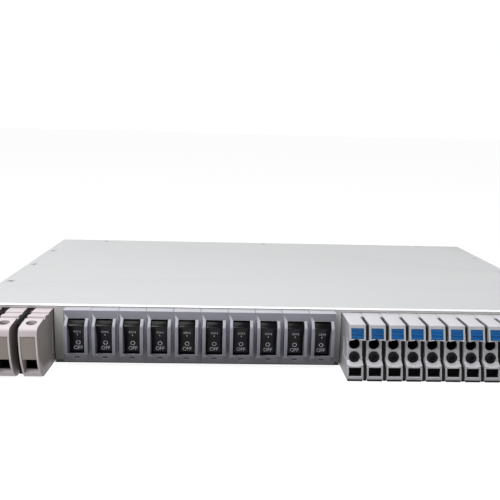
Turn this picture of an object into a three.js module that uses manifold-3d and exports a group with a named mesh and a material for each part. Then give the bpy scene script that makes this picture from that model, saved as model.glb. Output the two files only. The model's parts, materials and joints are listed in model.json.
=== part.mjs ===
// A 1U rack-mount DC distribution unit: a sheet-metal chassis with ten rocker circuit breakers,
// screw-clamp input terminals on the left and spring-clamp output terminals on the right.
// Millimetres. X runs to the right, Y to the rear, Z up. Inside the chassis group Y = 0 is the
// cover's front edge and Z = 0 is the underside of the tray.
import * as THREE from 'three';
import { mergeVertices } from 'three/addons/utils/BufferGeometryUtils.js';
import Module from 'manifold-3d';

const wasm = await Module();
wasm.setup();

// ---- Driving dimensions ----
const touchGap = 0.3; // clearance between two pieces that meet

const bodyWidth = 440;
const bodyDepth = 260;
const bodyHeight = 43;
const traySheet = 1.5;
const coverSheet = 1.2;
const flangeWidth = 12; // inward flanges that carry the cover
const panelFold = 12; // depth of the front panel's folded top edge
const inputPost = 9; // between the input terminals and the breakers
const outputPost = 5.5; // between the breakers and the output terminals

const coverScrewInset = 6;
const coverScrewHeadRadius = 3.6;
const coverScrewHoleRadius = 2.4;
const tappedHoleRadius = 1.65;
const rearScrewSpacing = 172.5;
const sideScrewSpacing = 64;

const earSheet = 2;
const earWidth = 21.3; // out from the body's side wall
const earReach = 58; // length of the ear's leg along the side wall
const slotInset = 8.75; // from the ear's outer edge to the middle of a slot
const slotEdge = 5.625; // from the ear's upper or lower edge to the middle of a slot
const slotLength = 10.3;
const slotHeight = 6.8;
const earScrewHoleRadius = 2.1;
const earScrewPitch = 22;

const breakerCount = 10;
const breakerPitch = 19.05;
const breakerBottom = 4.1;
const bezelTopGap = 0.4; // below the cover
const bezelDepth = 9; // how far the bezel stands ahead of the cover edge
const bezelSkin = 1.5;
const caseDepth = 46; // behind the cover edge
const caseWall = 1.1; // above and below the rocker's hollow
const clipRise = 0.9; // snap clip behind the panel
const clipLength = 2.9;
const guardReach = 5; // guard rims ahead of the bezel
const guardThickness = 2.2;
const guardMargin = 1.275; // bezel left outside each guard
const guardRamp = 4.8;
const guardFoot = 1.4;

const rockerSideGap = 0.3;
const rockerVertex = 6; // from pivot to the crease between the two facets
const rockerTiltDeg = 16; // each facet's tilt, and half of the travel
const rockerSkirtDepth = 3;
const rockerHub = 3.2;
const rockerWaist = 8.4;
const rockerRunGap = 0.45;
const pinRadius = 1.5;
const pinReach = 1.6; // pin length into each side wall
const pinGap = 0.2;

const studRadius = 2.5;
const studLength = 10;
const studRise = 9; // above and below the pivot height

const railWidth = 35;
const railHeight = 7.5;
const railCrown = 27;
const railSheet = 1;
const railFront = 3; // front edge of the rail behind the cover edge
const railSlotLength = 15;
const railSlotWidth = 6.2;
const railSlotPitch = 25;

const terminalDrop = 0.4; // underside of a terminal ahead of the tray
const hookGap = 0.4;
const hookReach = 3.4;
const rearChamfer = 6;
const railOverhang = 1.2;
const railTail = 10;

const inputCount = 3;
const inputPitch = 17.7;
const inputSideGap = 2.5; // from the tray wall to the outermost input terminal
const inputWidth = 12;
const inputRoot = 3.5; // the wide root starts here
const inputRear = 58;
const inputFaceFoot = [-30.5, 1.5];
const inputFaceBulge = [-39.8, 12.5]; // control point of the front face's curve
const inputFront = -39.5;
const inputFaceDrop = 7.2; // from the terminal's top to the head of its front face
const inputScrewY = -29.7;
const inputScrewWell = 3.5;
const inputScrewWellFloor = 22;
const inputShankRadius = 2;
const inputShankGap = 0.4;
const inputHeadRadius = 3.1;
const inputHeadHeight = 4;
const inputEntryHalf = 4.8;
const inputEntryTop = 15.6;
const inputEntryFloor = 6.4;
const inputEntryBack = -12;
const inputEntryLip = 4.4;
const inputRampFront = -33.5;
const inputRampBack = -28;
const grooveDepth = 1.6;
const driverSlotHalf = 0.5;
const driverSlotDepth = 1.2;
const inputPocketDepth = 0.9;
const inputPocketHalf = 4.9;
const inputPocketFloor = 15.2;

const outputCount = 10;
const outputPitch = 13.6;
const outputWidth = 11;
const outputRoot = -9;
const outputRear = 50;
const hoodTopY = -27.7;
const hoodFrontY = -31;
const hoodHeight = 10.3;
const recessTopY = -20.6;
const testFaceY = -24.2;
const collarReach = 4.4;
const archRadius = 13;
const hoodLand = 1.7; // wall between the hood and the driver hole
const holeLand = 0.8; // wall between the two holes
const entryLand = 2; // wall between the test hole and the wire entry
const driverHoleDepth = 16;
const testHoleDepth = 3.6;
const collarRim = 1.4;
const outputEntryHalf = 4.4;
const outputEntryFloor = 3.1;
const outputEntryTop = 9.3;
const outputEntryDepth = 18;
const markerHalf = 4.35;
const markerRimBelow = 0.7;
const markerRimAbove = 2.3;
const markerDepth = 1.2;
const hoodArch = 0.8;

const bracketWidth = 9.4;
const bracketTop = 31;
const bracketWellDepth = 12;
const bracketWellRadius = 3.5;

const boreDepth = 8; // how far an inner wire goes into a terminal's rear
const boreGap = 0.5;
const wireZ = 24; // height of the rear bores
const wireRadius = 1.8;
const cableRadius = 3.5;
const earthRadius = 2.6;
const lanePitch = 6;
const firstLane = 84;
const straightLead = 8;
const cableLead = 10;
const feedCount = 2;
const feedBendPoints = 7;
const laneZ = 6;

const busbarSheet = 2;
const busbarHeight = 12;
const busbarTabHalf = 6;
const busbarTabReach = 14;

const earthStudRadius = 3;
const earthStudHeight = 19;
const earthNutAcross = 10;
const earthNutHeight = 5;
const earthStudAside = 17.3;
const earthStudY = 150;
const earthLugGap = 1;

const roundSides = 12;
const smallSides = 8; // pins, studs and tapped holes
const archSides = 48;
const faceSteps = 6;
const hexSides = 6;
const wireSides = 8;
const wireSteps = 20;

// ---- Places worked out from the driving dimensions ----
const innerHalf = bodyWidth / 2 - traySheet;
const rackWidth = bodyWidth + 2 * earWidth; // over both ears
const slotSpacingAcross = rackWidth - 2 * slotInset;
const slotSpacingUp = bodyHeight - 2 * slotEdge;
const floorTop = traySheet + touchGap;
const coverUnder = bodyHeight - coverSheet;
const wallTop = coverUnder - touchGap;
const panelFront = touchGap;
const panelBack = panelFront + traySheet;
const terminalTop = wallTop - traySheet - touchGap;

const inputRootWidth = inputPitch - touchGap;
const inputLeft = -innerHalf + inputSideGap;
const inputRight = inputLeft + (inputCount - 1) * inputPitch + inputRootWidth;
const breakerRowLeft = inputRight + inputPost;
const breakerRowRight = breakerRowLeft + breakerCount * breakerPitch;
const outputLeft = breakerRowRight + outputPost;
const outputRootWidth = outputPitch - touchGap;

const breakerHeight = coverUnder - bezelTopGap - breakerBottom;
const pivotZ = breakerBottom + breakerHeight / 2;
const caseHalfZ = terminalTop - clipRise - pivotZ;
const cavityHalfZ = caseHalfZ - caseWall;
const windowHalfX = (breakerPitch - touchGap) / 2 - guardMargin - guardThickness;
const rockerWidth = 2 * (windowHalfX - rockerSideGap);
const rockerTilt = THREE.MathUtils.degToRad(rockerTiltDeg);
const rockerRadius = cavityHalfZ - rockerRunGap;
const facetSlope = Math.tan(rockerTilt);
const facetSpread = 1 + facetSlope ** 2;
const facetReach = Math.sqrt(facetSpread * rockerRadius ** 2 - rockerVertex ** 2);
const rockerHalfHeight = (facetReach - rockerVertex * facetSlope) / facetSpread;
const rockerTip = rockerVertex + rockerHalfHeight * facetSlope;
const cavityBack = rockerHub * Math.SQRT2 + rockerRunGap;
const skinBack = -bezelDepth + bezelSkin;
const windowHalfZ = Math.sqrt(rockerRadius ** 2 - skinBack ** 2) + rockerRunGap;
const railMiddle = railFront + railWidth / 2;
const brimTop = floorTop + railHeight;
const brimUnder = brimTop - railSheet;
const lineZ = pivotZ + studRise;
const loadZ = pivotZ - studRise;
const breakerX = (index) => breakerRowLeft + (index + 0.5) * breakerPitch;
const feedTabX = (index) => breakerRowLeft + (index + 1) * breakerPitch;
const busbarFront = caseDepth + touchGap;
const busbarBack = busbarFront + busbarSheet;

// ---- Materials ----
const finish = (color, roughness, metalness) =>
  new THREE.MeshStandardMaterial({ color, roughness, metalness });
const powderCoat = () => finish(0xd9dad9, 0.55, 0.1);
const panelCoat = () => finish(0xb9bab9, 0.6, 0.1);
const bezelGrey = () => finish(0x80808a, 0.5, 0);
const rockerBlack = () => finish(0x111114, 0.35, 0);
const inputPlastic = () => finish(0xc4bebb, 0.55, 0);
const outputPlastic = () => finish(0xc9c9c9, 0.55, 0);
const zincSteel = () => finish(0xb4b6b8, 0.35, 1);
const copper = () => finish(0xb4693c, 0.35, 1);
const brass = () => finish(0xb99a55, 0.35, 1);
const wireRed = () => finish(0x9c1f1c, 0.5, 0);
const wireBlack = () => finish(0x1a1a1c, 0.5, 0);
const wireGreen = () => finish(0x3f7a2c, 0.5, 0);

// ---- Solids ----
function solid(geometry) {
  const bare = geometry.index ? geometry.toNonIndexed() : geometry.clone();
  bare.deleteAttribute('normal');
  bare.deleteAttribute('uv');
  const merged = mergeVertices(bare, 1e-4);
  const vertProperties = new Float32Array(merged.attributes.position.array);
  const triVerts = new Uint32Array(merged.index.array);
  return new wasm.Manifold(new wasm.Mesh({ numProp: 3, vertProperties, triVerts }));
}

function join(first, ...others) {
  return others.reduce((whole, piece) => whole.add(piece), first);
}

function cut(first, ...others) {
  return others.reduce((whole, piece) => whole.subtract(piece), first);
}

function box([x0, x1], [y0, y1], [z0, z1]) {
  const block = new THREE.BoxGeometry(x1 - x0, y1 - y0, z1 - z0);
  block.translate((x0 + x1) / 2, (y0 + y1) / 2, (z0 + z1) / 2);
  return solid(block);
}

// A cylinder or cone along an axis, from one end to the other, with the centre line's two
// other coordinates in X, Y, Z order.
function rod(axis, [from, to], [a, b], startRadius, endRadius = startRadius, sides = roundSides) {
  const shaft = new THREE.CylinderGeometry(endRadius, startRadius, to - from, sides);
  const middle = (from + to) / 2;
  if (axis === 'x') shaft.rotateZ(-Math.PI / 2).translate(middle, a, b);
  if (axis === 'y') shaft.translate(a, middle, b);
  if (axis === 'z') shaft.rotateX(Math.PI / 2).translate(a, b, middle);
  return solid(shaft);
}

function outline(points) {
  return new THREE.Shape(points.map(([u, v]) => new THREE.Vector2(u, v)));
}

function extrude(shape, depth) {
  return new THREE.ExtrudeGeometry(shape, { depth, bevelEnabled: false, curveSegments: 8 });
}

// A side outline in (Y, Z), extruded from x0 to x1.
function alongX(points, [x0, x1]) {
  const geometry = extrude(outline(points), x1 - x0);
  const turn = new THREE.Matrix4().makeBasis(
    new THREE.Vector3(0, 1, 0),
    new THREE.Vector3(0, 0, 1),
    new THREE.Vector3(1, 0, 0)
  );
  geometry.applyMatrix4(turn).translate(x0, 0, 0);
  return solid(geometry);
}

// A slot with round ends, running along X, cut straight through in Y or Z.
function slot(axis, [from, to], [a, b], length, width) {
  const reach = (length - width) / 2;
  const ends = [a - reach, a + reach].map((x) => rod(axis, [from, to], [x, b], width / 2));
  const across = [b - width / 2, b + width / 2];
  const middle = axis === 'z'
    ? box([a - reach, a + reach], across, [from, to])
    : box([a - reach, a + reach], [from, to], across);
  return join(middle, ...ends);
}

// A mirrored interval: from near to far on one side of the middle plane.
function span(side, near, far) {
  return side > 0 ? [near, far] : [-far, -near];
}

const chassis = new THREE.Group();

function place(name, manifold, material) {
  const { vertProperties, triVerts } = manifold.getMesh();
  const geometry = new THREE.BufferGeometry();
  geometry.setAttribute('position', new THREE.BufferAttribute(vertProperties, 3));
  geometry.setIndex(new THREE.BufferAttribute(triVerts, 1));
  geometry.computeVertexNormals();
  const mesh = new THREE.Mesh(geometry, material);
  mesh.name = name;
  chassis.add(mesh);
  return mesh;
}

const numbered = (stem, index) => `${stem}_${String(index + 1).padStart(2, '0')}`;
const times = (count) => [...Array(count).keys()];

// ---- Cover screws: a row along the rear edge and one along each side ----
const rearScrewY = bodyDepth - coverScrewInset;
const sideScrewX = bodyWidth / 2 - coverScrewInset;
const coverScrews = [-1, 0, 1].flatMap((step) => [
  [step * rearScrewSpacing, rearScrewY],
  [-sideScrewX, bodyDepth / 2 + step * sideScrewSpacing],
  [sideScrewX, bodyDepth / 2 + step * sideScrewSpacing]
]);

// ---- Ear screws: two pairs through each side wall ----
const earScrewPlaces = [1, 2].flatMap((step) =>
  [-1, 1].map((up) => [step * earScrewPitch, bodyHeight / 2 + up * earScrewPitch / 2]));

// ---- Chassis tray: floor, side walls and rear wall, with inward flanges for the cover ----
function buildTray() {
  const half = bodyWidth / 2;
  const flangeUnder = wallTop - traySheet;
  const flangeStart = panelFront + panelFold + touchGap;
  const floor = box([-half, half], [panelFront, bodyDepth], [0, traySheet]);
  const rear = box([-half, half], [bodyDepth - traySheet, bodyDepth], [0, wallTop]);
  const rearFlange = box([-half, half], [bodyDepth - flangeWidth, bodyDepth], [flangeUnder, wallTop]);
  const sides = [-1, 1].flatMap((side) => [
    box(span(side, innerHalf, half), [panelFront, bodyDepth], [0, wallTop]),
    box(span(side, half - flangeWidth, half), [flangeStart, bodyDepth], [flangeUnder, wallTop])
  ]);
  const tap = (axis, ends, at) => rod(axis, ends, at, tappedHoleRadius, tappedHoleRadius, smallSides);
  const tapped = coverScrews.map((at) => tap('z', [flangeUnder - 1, wallTop + 1], at));
  const earHoles = [-1, 1].flatMap((side) => earScrewPlaces.map((at) =>
    tap('x', span(side, innerHalf - 1, half + 1), at)));
  return cut(join(floor, rear, rearFlange, ...sides), ...tapped, ...earHoles);
}

// ---- Top cover: a flat plate with countersunk holes ----
function buildCover() {
  const half = bodyWidth / 2;
  const plate = box([-half, half], [0, bodyDepth], [coverUnder, bodyHeight]);
  const sinks = coverScrews.map((at) =>
    rod('z', [coverUnder, bodyHeight], at, coverScrewHoleRadius, coverScrewHeadRadius));
  return cut(plate, ...sinks);
}

// ---- Front panel: a plate behind the bezels, open to the terminals on both sides ----
const inputBayRight = inputRight + 2 * touchGap;
const outputBayLeft = outputLeft - touchGap;
const outputRowRight = outputLeft + (outputCount - 1) * outputPitch + outputRootWidth;
const bracketLeft = outputRowRight + touchGap;
const outputBayRight = bracketLeft + bracketWidth + touchGap;

function buildPanel() {
  const half = innerHalf - touchGap;
  const through = [panelFront - 1, panelBack + 1];
  const bayTop = terminalTop + touchGap;
  const plate = box([-half, half], [panelFront, panelBack], [floorTop, wallTop]);
  const fold = box([-half, half], [panelFront, panelFront + panelFold], [bayTop, wallTop]);
  const row = [breakerRowLeft - touchGap, breakerRowRight + touchGap];
  const rowHeight = [pivotZ - caseHalfZ - touchGap, pivotZ + caseHalfZ + touchGap];
  return cut(
    join(plate, fold),
    box(row, through, rowHeight),
    box([-half - 1, inputBayRight], through, [0, bayTop]),
    box([outputBayLeft, outputBayRight], through, [0, bayTop])
  );
}

// ---- Rack ears: angle brackets with open mounting slots ----
function buildEar(side) {
  const inner = bodyWidth / 2 + touchGap;
  const across = span(side, inner, rackWidth / 2);
  const face = box(across, [panelFront, panelFront + earSheet], [0, bodyHeight]);
  const thickness = span(side, inner, inner + earSheet);
  const leg = box(thickness, [panelFront, panelFront + earReach], [0, bodyHeight]);
  const slots = [-1, 1].map((up) => slot(
    'y',
    [panelFront - 1, panelFront + earSheet + 1],
    [side * slotSpacingAcross / 2, bodyHeight / 2 + up * slotSpacingUp / 2],
    slotLength,
    slotHeight
  ));
  const holes = earScrewPlaces.map((at) =>
    rod('x', span(side, inner - 1, inner + earSheet + 1), at, earScrewHoleRadius));
  return cut(join(face, leg), ...slots, ...holes);
}

// ---- Circuit breakers ----
// Case and rocker are drawn around the rocker's pivot.
function buildBreakerCase() {
  const flangeHalf = breakerHeight / 2;
  const width = [-breakerPitch / 2 + touchGap / 2, breakerPitch / 2 - touchGap / 2];
  const clipFront = panelBack + touchGap;
  const upper = [
    [caseDepth, caseHalfZ],
    [clipFront + clipLength, caseHalfZ],
    [clipFront, caseHalfZ + clipRise],
    [clipFront, caseHalfZ],
    [0, caseHalfZ],
    [0, flangeHalf],
    [-bezelDepth, flangeHalf]
  ];
  const lower = upper.map(([y, z]) => [y, -z]).reverse();
  const hollowX = [-windowHalfX, windowHalfX];
  const window = box(hollowX, [-bezelDepth - 1, 0], [-windowHalfZ, windowHalfZ]);
  const cavity = box(hollowX, [skinBack, cavityBack], [-cavityHalfZ, cavityHalfZ]);
  const boreHalf = windowHalfX + pinReach + pinGap;
  const boreRadius = pinRadius + pinGap;
  const bore = rod('x', [-boreHalf, boreHalf], [0, 0], boreRadius, boreRadius, smallSides);
  const guards = [-1, 1].map((side) => alongX([
    [-bezelDepth + touchGap, windowHalfZ],
    [-bezelDepth, windowHalfZ],
    [-bezelDepth - guardReach, windowHalfZ - guardRamp],
    [-bezelDepth - guardReach, -windowHalfZ + guardFoot],
    [-bezelDepth, -windowHalfZ],
    [-bezelDepth + touchGap, -windowHalfZ]
  ], span(side, windowHalfX, windowHalfX + guardThickness)));
  const studs = [-studRise, studRise].map((z) =>
    rod('y', [caseDepth - 1, caseDepth + studLength], [0, z], studRadius, studRadius, smallSides));
  const body = alongX([...lower, ...upper], width);
  return join(cut(body, window, cavity, bore), ...guards, ...studs);
}

// A two-facet rocker with curved skirts about its pivot, drawn level between its two positions.
function buildRocker() {
  const skirtSteps = 4;
  const startAngle = Math.atan2(rockerHalfHeight, rockerTip);
  const endAngle = Math.acos(rockerSkirtDepth / rockerRadius);
  const upper = times(skirtSteps + 1).map((step) => {
    const angle = THREE.MathUtils.lerp(startAngle, endAngle, step / skirtSteps);
    return [-rockerRadius * Math.cos(angle), rockerRadius * Math.sin(angle)];
  });
  upper.push([0, rockerWaist], [rockerHub, rockerHub]);
  const lower = upper.map(([y, z]) => [y, -z]).reverse();
  const width = [-rockerWidth / 2, rockerWidth / 2];
  const paddle = alongX([[-rockerVertex, 0], ...upper, ...lower], width);
  const pinHalf = windowHalfX + pinReach;
  return join(paddle, rod('x', [-pinHalf, pinHalf], [0, 0], pinRadius, pinRadius, smallSides));
}

// ---- DIN rails: top-hat section with slots in the crown ----
function buildRail([x0, x1]) {
  const brim = railWidth / 2;
  const crown = railCrown / 2;
  const inside = crown - railSheet;
  const half = [
    [inside, railSheet],
    [inside, railHeight],
    [brim, railHeight],
    [brim, railHeight - railSheet],
    [crown, railHeight - railSheet],
    [crown, 0]
  ];
  const mirrored = half.map(([y, z]) => [-y, z]).reverse();
  const section = [...half, ...mirrored].map(([y, z]) => [railMiddle + y, floorTop + z]);
  const count = Math.floor((x1 - x0) / railSlotPitch);
  const slots = times(count).map((index) => slot(
    'z',
    [floorTop - 1, floorTop + railSheet + 1],
    [(x0 + x1) / 2 + (index - (count - 1) / 2) * railSlotPitch, railMiddle],
    railSlotLength,
    railSlotWidth
  ));
  return cut(alongX(section, [x0, x1]), ...slots);
}

// The underside of every terminal, front to rear, with a hook under each side of the rail's brim.
function railFoot(rear) {
  const front = railFront - touchGap;
  const back = railFront + railWidth + touchGap;
  const hookTop = brimUnder - hookGap;
  const roof = brimTop + touchGap;
  return [
    [front + hookReach, floorTop],
    [front + hookReach, hookTop],
    [front, hookTop],
    [front, roof],
    [back, roof],
    [back, hookTop],
    [back - hookReach, hookTop],
    [back - hookReach, floorTop],
    [rear - rearChamfer, floorTop],
    [rear, floorTop + rearChamfer]
  ];
}

// A terminal housing: one outline, narrow ahead of the root and wide behind it.
function housing(points, narrow, wide, root) {
  const behind = box([wide[0] - 1, wide[1] + 1], [root, bodyDepth], [0, bodyHeight]);
  return join(alongX(points, narrow), alongX(points, wide).intersect(behind));
}

function rearBore(x, rear, radius) {
  return rod('y', [rear - boreDepth, rear + 1], [x, wireZ], radius + boreGap);
}

// ---- Input terminals: screw clamps ----
const inputFaceHead = [inputFront, terminalTop - inputFaceDrop];
const inputMiddle = inputRight - inputWidth / 2;
const inputBoreX = inputRight - inputRootWidth / 2;
const inputFace = new THREE.QuadraticBezierCurve(
  new THREE.Vector2(...inputFaceHead),
  new THREE.Vector2(...inputFaceBulge),
  new THREE.Vector2(...inputFaceFoot)
).getPoints(faceSteps).map(({ x, y }) => [x, y]);

function buildInputTerminal() {
  const body = housing([
    [-27, terminalDrop],
    [-touchGap, terminalDrop],
    [-touchGap, floorTop],
    ...railFoot(inputRear),
    [inputRear, terminalTop - rearChamfer],
    [inputRear - rearChamfer, terminalTop],
    [-19, terminalTop],
    [-19.5, terminalTop - grooveDepth],
    [-21.5, terminalTop - grooveDepth],
    [-22.5, terminalTop - 0.3],
    [-36.8, terminalTop - 2],
    [-38.8, terminalTop - 3.7],
    ...inputFace
  ], [inputRight - inputWidth, inputRight], [inputRight - inputRootWidth, inputRight], inputRoot);
  const well = rod('z', [inputScrewWellFloor, bodyHeight], [inputMiddle, inputScrewY], inputScrewWell);
  const shank = rod(
    'z',
    [inputEntryTop - 1, inputScrewWellFloor + 1],
    [inputMiddle, inputScrewY],
    inputShankRadius + inputShankGap
  );
  const ahead = inputFront - 1;
  const entry = alongX([
    [ahead, inputEntryLip],
    [inputRampFront, inputEntryLip],
    [inputRampBack, inputEntryFloor],
    [inputEntryBack, inputEntryFloor],
    [inputEntryBack, inputEntryTop],
    [ahead, inputEntryTop]
  ], [inputMiddle - inputEntryHalf, inputMiddle + inputEntryHalf]);
  const pocketBack = inputFace.map(([y, z]) => [y + inputPocketDepth, z]);
  const pocketWidth = [inputMiddle - inputPocketHalf, inputMiddle + inputPocketHalf];
  const pocketBand = box(pocketWidth, [ahead, 0], [inputPocketFloor, inputFaceHead[1] - touchGap]);
  const pocket = alongX([
    [ahead, inputFaceHead[1]],
    ...pocketBack,
    [ahead, inputFaceFoot[1]]
  ], pocketWidth).intersect(pocketBand);
  return cut(body, well, shank, entry, pocket, rearBore(inputBoreX, inputRear, cableRadius));
}

// The clamp screw: a slotted cheese head on the floor of its well.
function buildInputScrew() {
  const at = [inputMiddle, inputScrewY];
  const headBottom = inputScrewWellFloor + touchGap;
  const headTop = headBottom + inputHeadHeight;
  const head = rod('z', [headBottom, headTop], at, inputHeadRadius);
  const shank = rod('z', [inputEntryTop + touchGap, headBottom + 1], at, inputShankRadius);
  const slotHalf = inputHeadRadius + 1;
  const driverSlot = box(
    [inputMiddle - slotHalf, inputMiddle + slotHalf],
    [inputScrewY - driverSlotHalf, inputScrewY + driverSlotHalf],
    [headTop - driverSlotDepth, headTop + 1]
  );
  return cut(join(head, shank), driverSlot);
}

// ---- Output terminals: spring clamps under a marker hood ----
const hoodUnder = terminalTop - hoodHeight;
const outputHoleRadius = (hoodUnder - outputEntryTop - hoodLand - holeLand - entryLand) / 4;
const driverHoleZ = hoodUnder - hoodLand - outputHoleRadius;
const testHoleZ = outputEntryTop + entryLand + outputHoleRadius;
const collarRadius = outputHoleRadius + collarRim;
const markerFloor = hoodUnder + markerRimBelow;
const markerTop = terminalTop - markerRimAbove;
const outputMiddle = outputLeft + outputWidth / 2;
const outputBoreX = outputLeft + outputRootWidth / 2;

function buildOutputTerminal() {
  const body = housing([
    [-30.5, terminalDrop],
    [-touchGap, terminalDrop],
    [-touchGap, floorTop],
    ...railFoot(outputRear),
    [outputRear, terminalTop - rearChamfer],
    [outputRear - rearChamfer, terminalTop],
    [hoodTopY, terminalTop],
    [hoodFrontY, hoodUnder],
    [recessTopY, hoodUnder - 1.4],
    [testFaceY, testHoleZ - outputHoleRadius],
    [-28.3, outputEntryTop]
  ], [outputLeft, outputLeft + outputWidth], [outputLeft, outputLeft + outputRootWidth], outputRoot);
  const testAt = [outputMiddle, testHoleZ];
  const ahead = hoodFrontY - 1;
  const collarBand = box(
    [outputLeft, outputLeft + outputWidth],
    [ahead, recessTopY],
    [outputEntryTop + touchGap, testHoleZ - 2]
  );
  const collar = rod('y', [testFaceY - collarReach, recessTopY], testAt, collarRadius);
  const driverHole = rod(
    'y', [ahead, recessTopY + driverHoleDepth], [outputMiddle, driverHoleZ], outputHoleRadius);
  const testHole = rod('y', [ahead, testFaceY + testHoleDepth], testAt, outputHoleRadius);
  const entry = box(
    [outputMiddle - outputEntryHalf, outputMiddle + outputEntryHalf],
    [ahead, ahead + outputEntryDepth],
    [outputEntryFloor, outputEntryTop]
  );
  const hoodFaceY = (z) => THREE.MathUtils.mapLinear(z, hoodUnder, terminalTop, hoodFrontY, hoodTopY);
  const pocket = alongX([
    [ahead, markerFloor],
    [hoodFaceY(markerFloor) + markerDepth, markerFloor],
    [hoodFaceY(markerTop) + markerDepth, markerTop],
    [ahead, markerTop]
  ], [outputMiddle - markerHalf, outputMiddle + markerHalf]);
  const archAt = [outputMiddle, hoodUnder + hoodArch - archRadius];
  const width = [outputLeft, outputLeft + outputWidth];
  const underHood = box(width, [ahead, recessTopY], [hoodUnder - 1, bodyHeight]);
  const arch = rod('y', [ahead, recessTopY - 1], archAt, archRadius, archRadius, archSides);
  const bore = rearBore(outputBoreX, outputRear, wireRadius);
  const whole = join(body, collar.intersect(collarBand));
  return cut(whole, driverHole, testHole, entry, pocket, arch.intersect(underHood), bore);
}

// ---- End bracket: clamps the output row on its rail ----
function buildEndBracket() {
  const width = [bracketLeft, bracketLeft + bracketWidth];
  const body = alongX([
    [panelFront, floorTop],
    ...railFoot(outputRear),
    [outputRear, bracketTop - rearChamfer],
    [outputRear - rearChamfer, bracketTop],
    [panelFront + rearChamfer, bracketTop],
    [panelFront, bracketTop - rearChamfer]
  ], width);
  const middle = bracketLeft + bracketWidth / 2;
  const wellEnds = [bracketTop - bracketWellDepth, bracketTop + 1];
  return cut(body, rod('z', wellEnds, [middle, railMiddle], bracketWellRadius));
}

// ---- Line busbar: a copper strip over the upper studs, with two feed tabs ----
function buildBusbar() {
  const ends = [breakerX(0) - busbarHeight / 2, breakerX(breakerCount - 1) + busbarHeight / 2];
  const depth = [busbarFront, busbarBack];
  const height = [lineZ - busbarHeight / 2, lineZ + busbarHeight / 2];
  const tabs = times(feedCount).map((index) => box(
    [feedTabX(index) - busbarTabHalf, feedTabX(index) + busbarTabHalf],
    [busbarFront, busbarBack + busbarTabReach],
    [height[0], height[0] + busbarSheet]
  ));
  const holes = times(breakerCount).map((index) =>
    rod('y', [busbarFront - 1, busbarBack + 1], [breakerX(index), lineZ], studRadius + hookGap));
  return cut(join(box(ends, depth, height), ...tabs), ...holes);
}

// ---- Wiring ----
// A smooth route through the points. A long stretch gets a point near each end, which keeps it
// straight.
function route(points) {
  const corners = points.map((at) => new THREE.Vector3(...at));
  const stops = corners.flatMap((corner, index) => {
    const next = corners[index + 1];
    if (!next || corner.distanceTo(next) < 4 * straightLead) return [corner];
    const along = next.clone().sub(corner).setLength(straightLead);
    return [corner, corner.clone().add(along), next.clone().sub(along)];
  });
  return new THREE.CatmullRomCurve3(stops, false, 'centripetal');
}

function tube(points, radius, steps) {
  const section = outline(times(wireSides).map((side) => {
    const angle = 2 * Math.PI * side / wireSides;
    return [radius * Math.cos(angle), radius * Math.sin(angle)];
  }));
  const extrudePath = route(points);
  return solid(new THREE.ExtrudeGeometry(section, { steps, extrudePath, bevelEnabled: false }));
}

// From a breaker's lower stud back to its lane, along the lane, up, and into its terminal.
function buildOutputWire(index) {
  const from = breakerX(index);
  const to = outputBoreX + index * outputPitch;
  const lane = firstLane + (breakerCount - 1 - index) * lanePitch;
  const stud = caseDepth + studLength + touchGap;
  return tube([
    [from, stud, loadZ],
    [from, stud + 6, loadZ],
    [from, firstLane - 10, laneZ],
    [from, lane - 7, laneZ],
    [from + 7, lane, laneZ],
    [to - 18, lane, laneZ],
    [to - 7, lane, wireZ],
    [to, lane - 7, wireZ],
    [to, outputRear + 4, wireZ],
    [to, outputRear - boreDepth + touchGap, wireZ]
  ], wireRadius, wireSteps);
}

// A half turn from an input terminal to its tab on the busbar.
function buildFeedCable(index) {
  const from = inputBoreX - index * inputPitch;
  const to = feedTabX(index);
  const tabEnd = busbarBack + busbarTabReach + touchGap;
  const tabZ = lineZ - busbarHeight / 2 + busbarSheet / 2;
  const middle = (from + to) / 2;
  const bend = (to - from) / 2;
  const bendY = tabEnd + cableLead;
  const turn = times(feedBendPoints).map((step) => {
    const angle = Math.PI * step / (feedBendPoints - 1);
    const rise = THREE.MathUtils.lerp(wireZ, tabZ, step / (feedBendPoints - 1));
    return [middle - bend * Math.cos(angle), bendY + bend * Math.sin(angle), rise];
  });
  return tube([
    [from, inputRear - boreDepth + touchGap, wireZ],
    ...turn,
    [to, tabEnd, tabZ]
  ], cableRadius, wireSteps);
}

// From the outermost input terminal down to the earth stud on the tray floor.
const earthNutCorner = earthNutAcross / Math.sqrt(3);
const earthStudAt = [inputLeft + inputRootWidth / 2 + earthStudAside, earthStudY];

function buildEarthCable() {
  const from = inputBoreX - (inputCount - 1) * inputPitch;
  const [studX, studY] = earthStudAt;
  const low = floorTop + touchGap + earthRadius;
  return tube([
    [from, inputRear - boreDepth + touchGap, wireZ],
    [from, inputRear + cableLead, wireZ],
    [from, (inputRear + studY) / 2 + 8, low + 5],
    [from + 1, studY - 14, low],
    [from + 6, studY - 3, low],
    [studX - earthNutCorner - earthLugGap, studY, low]
  ], earthRadius, wireSteps);
}

function buildEarthStud() {
  const nutEnds = [floorTop, floorTop + earthNutHeight];
  const nut = rod('z', nutEnds, earthStudAt, earthNutCorner, earthNutCorner, hexSides);
  const stud = rod('z', [floorTop, floorTop + earthStudHeight], earthStudAt, earthStudRadius);
  return join(nut, stud);
}

// ---- Assembly ----
place('chassis_tray', buildTray(), powderCoat());
place('top_cover', buildCover(), powderCoat());
place('front_panel', buildPanel(), panelCoat());
place('rack_ear_left', buildEar(-1), powderCoat());
place('rack_ear_right', buildEar(1), powderCoat());

const breakerCase = buildBreakerCase();
const rocker = buildRocker();
for (const index of times(breakerCount)) {
  const caseMesh = place(numbered('breaker_case', index), breakerCase, bezelGrey());
  caseMesh.position.set(breakerX(index), 0, pivotZ);
  const rockerMesh = place(numbered('rocker', index), rocker, rockerBlack());
  rockerMesh.position.set(breakerX(index), 0, pivotZ);
  rockerMesh.rotation.x = rockerTilt;
}

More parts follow.
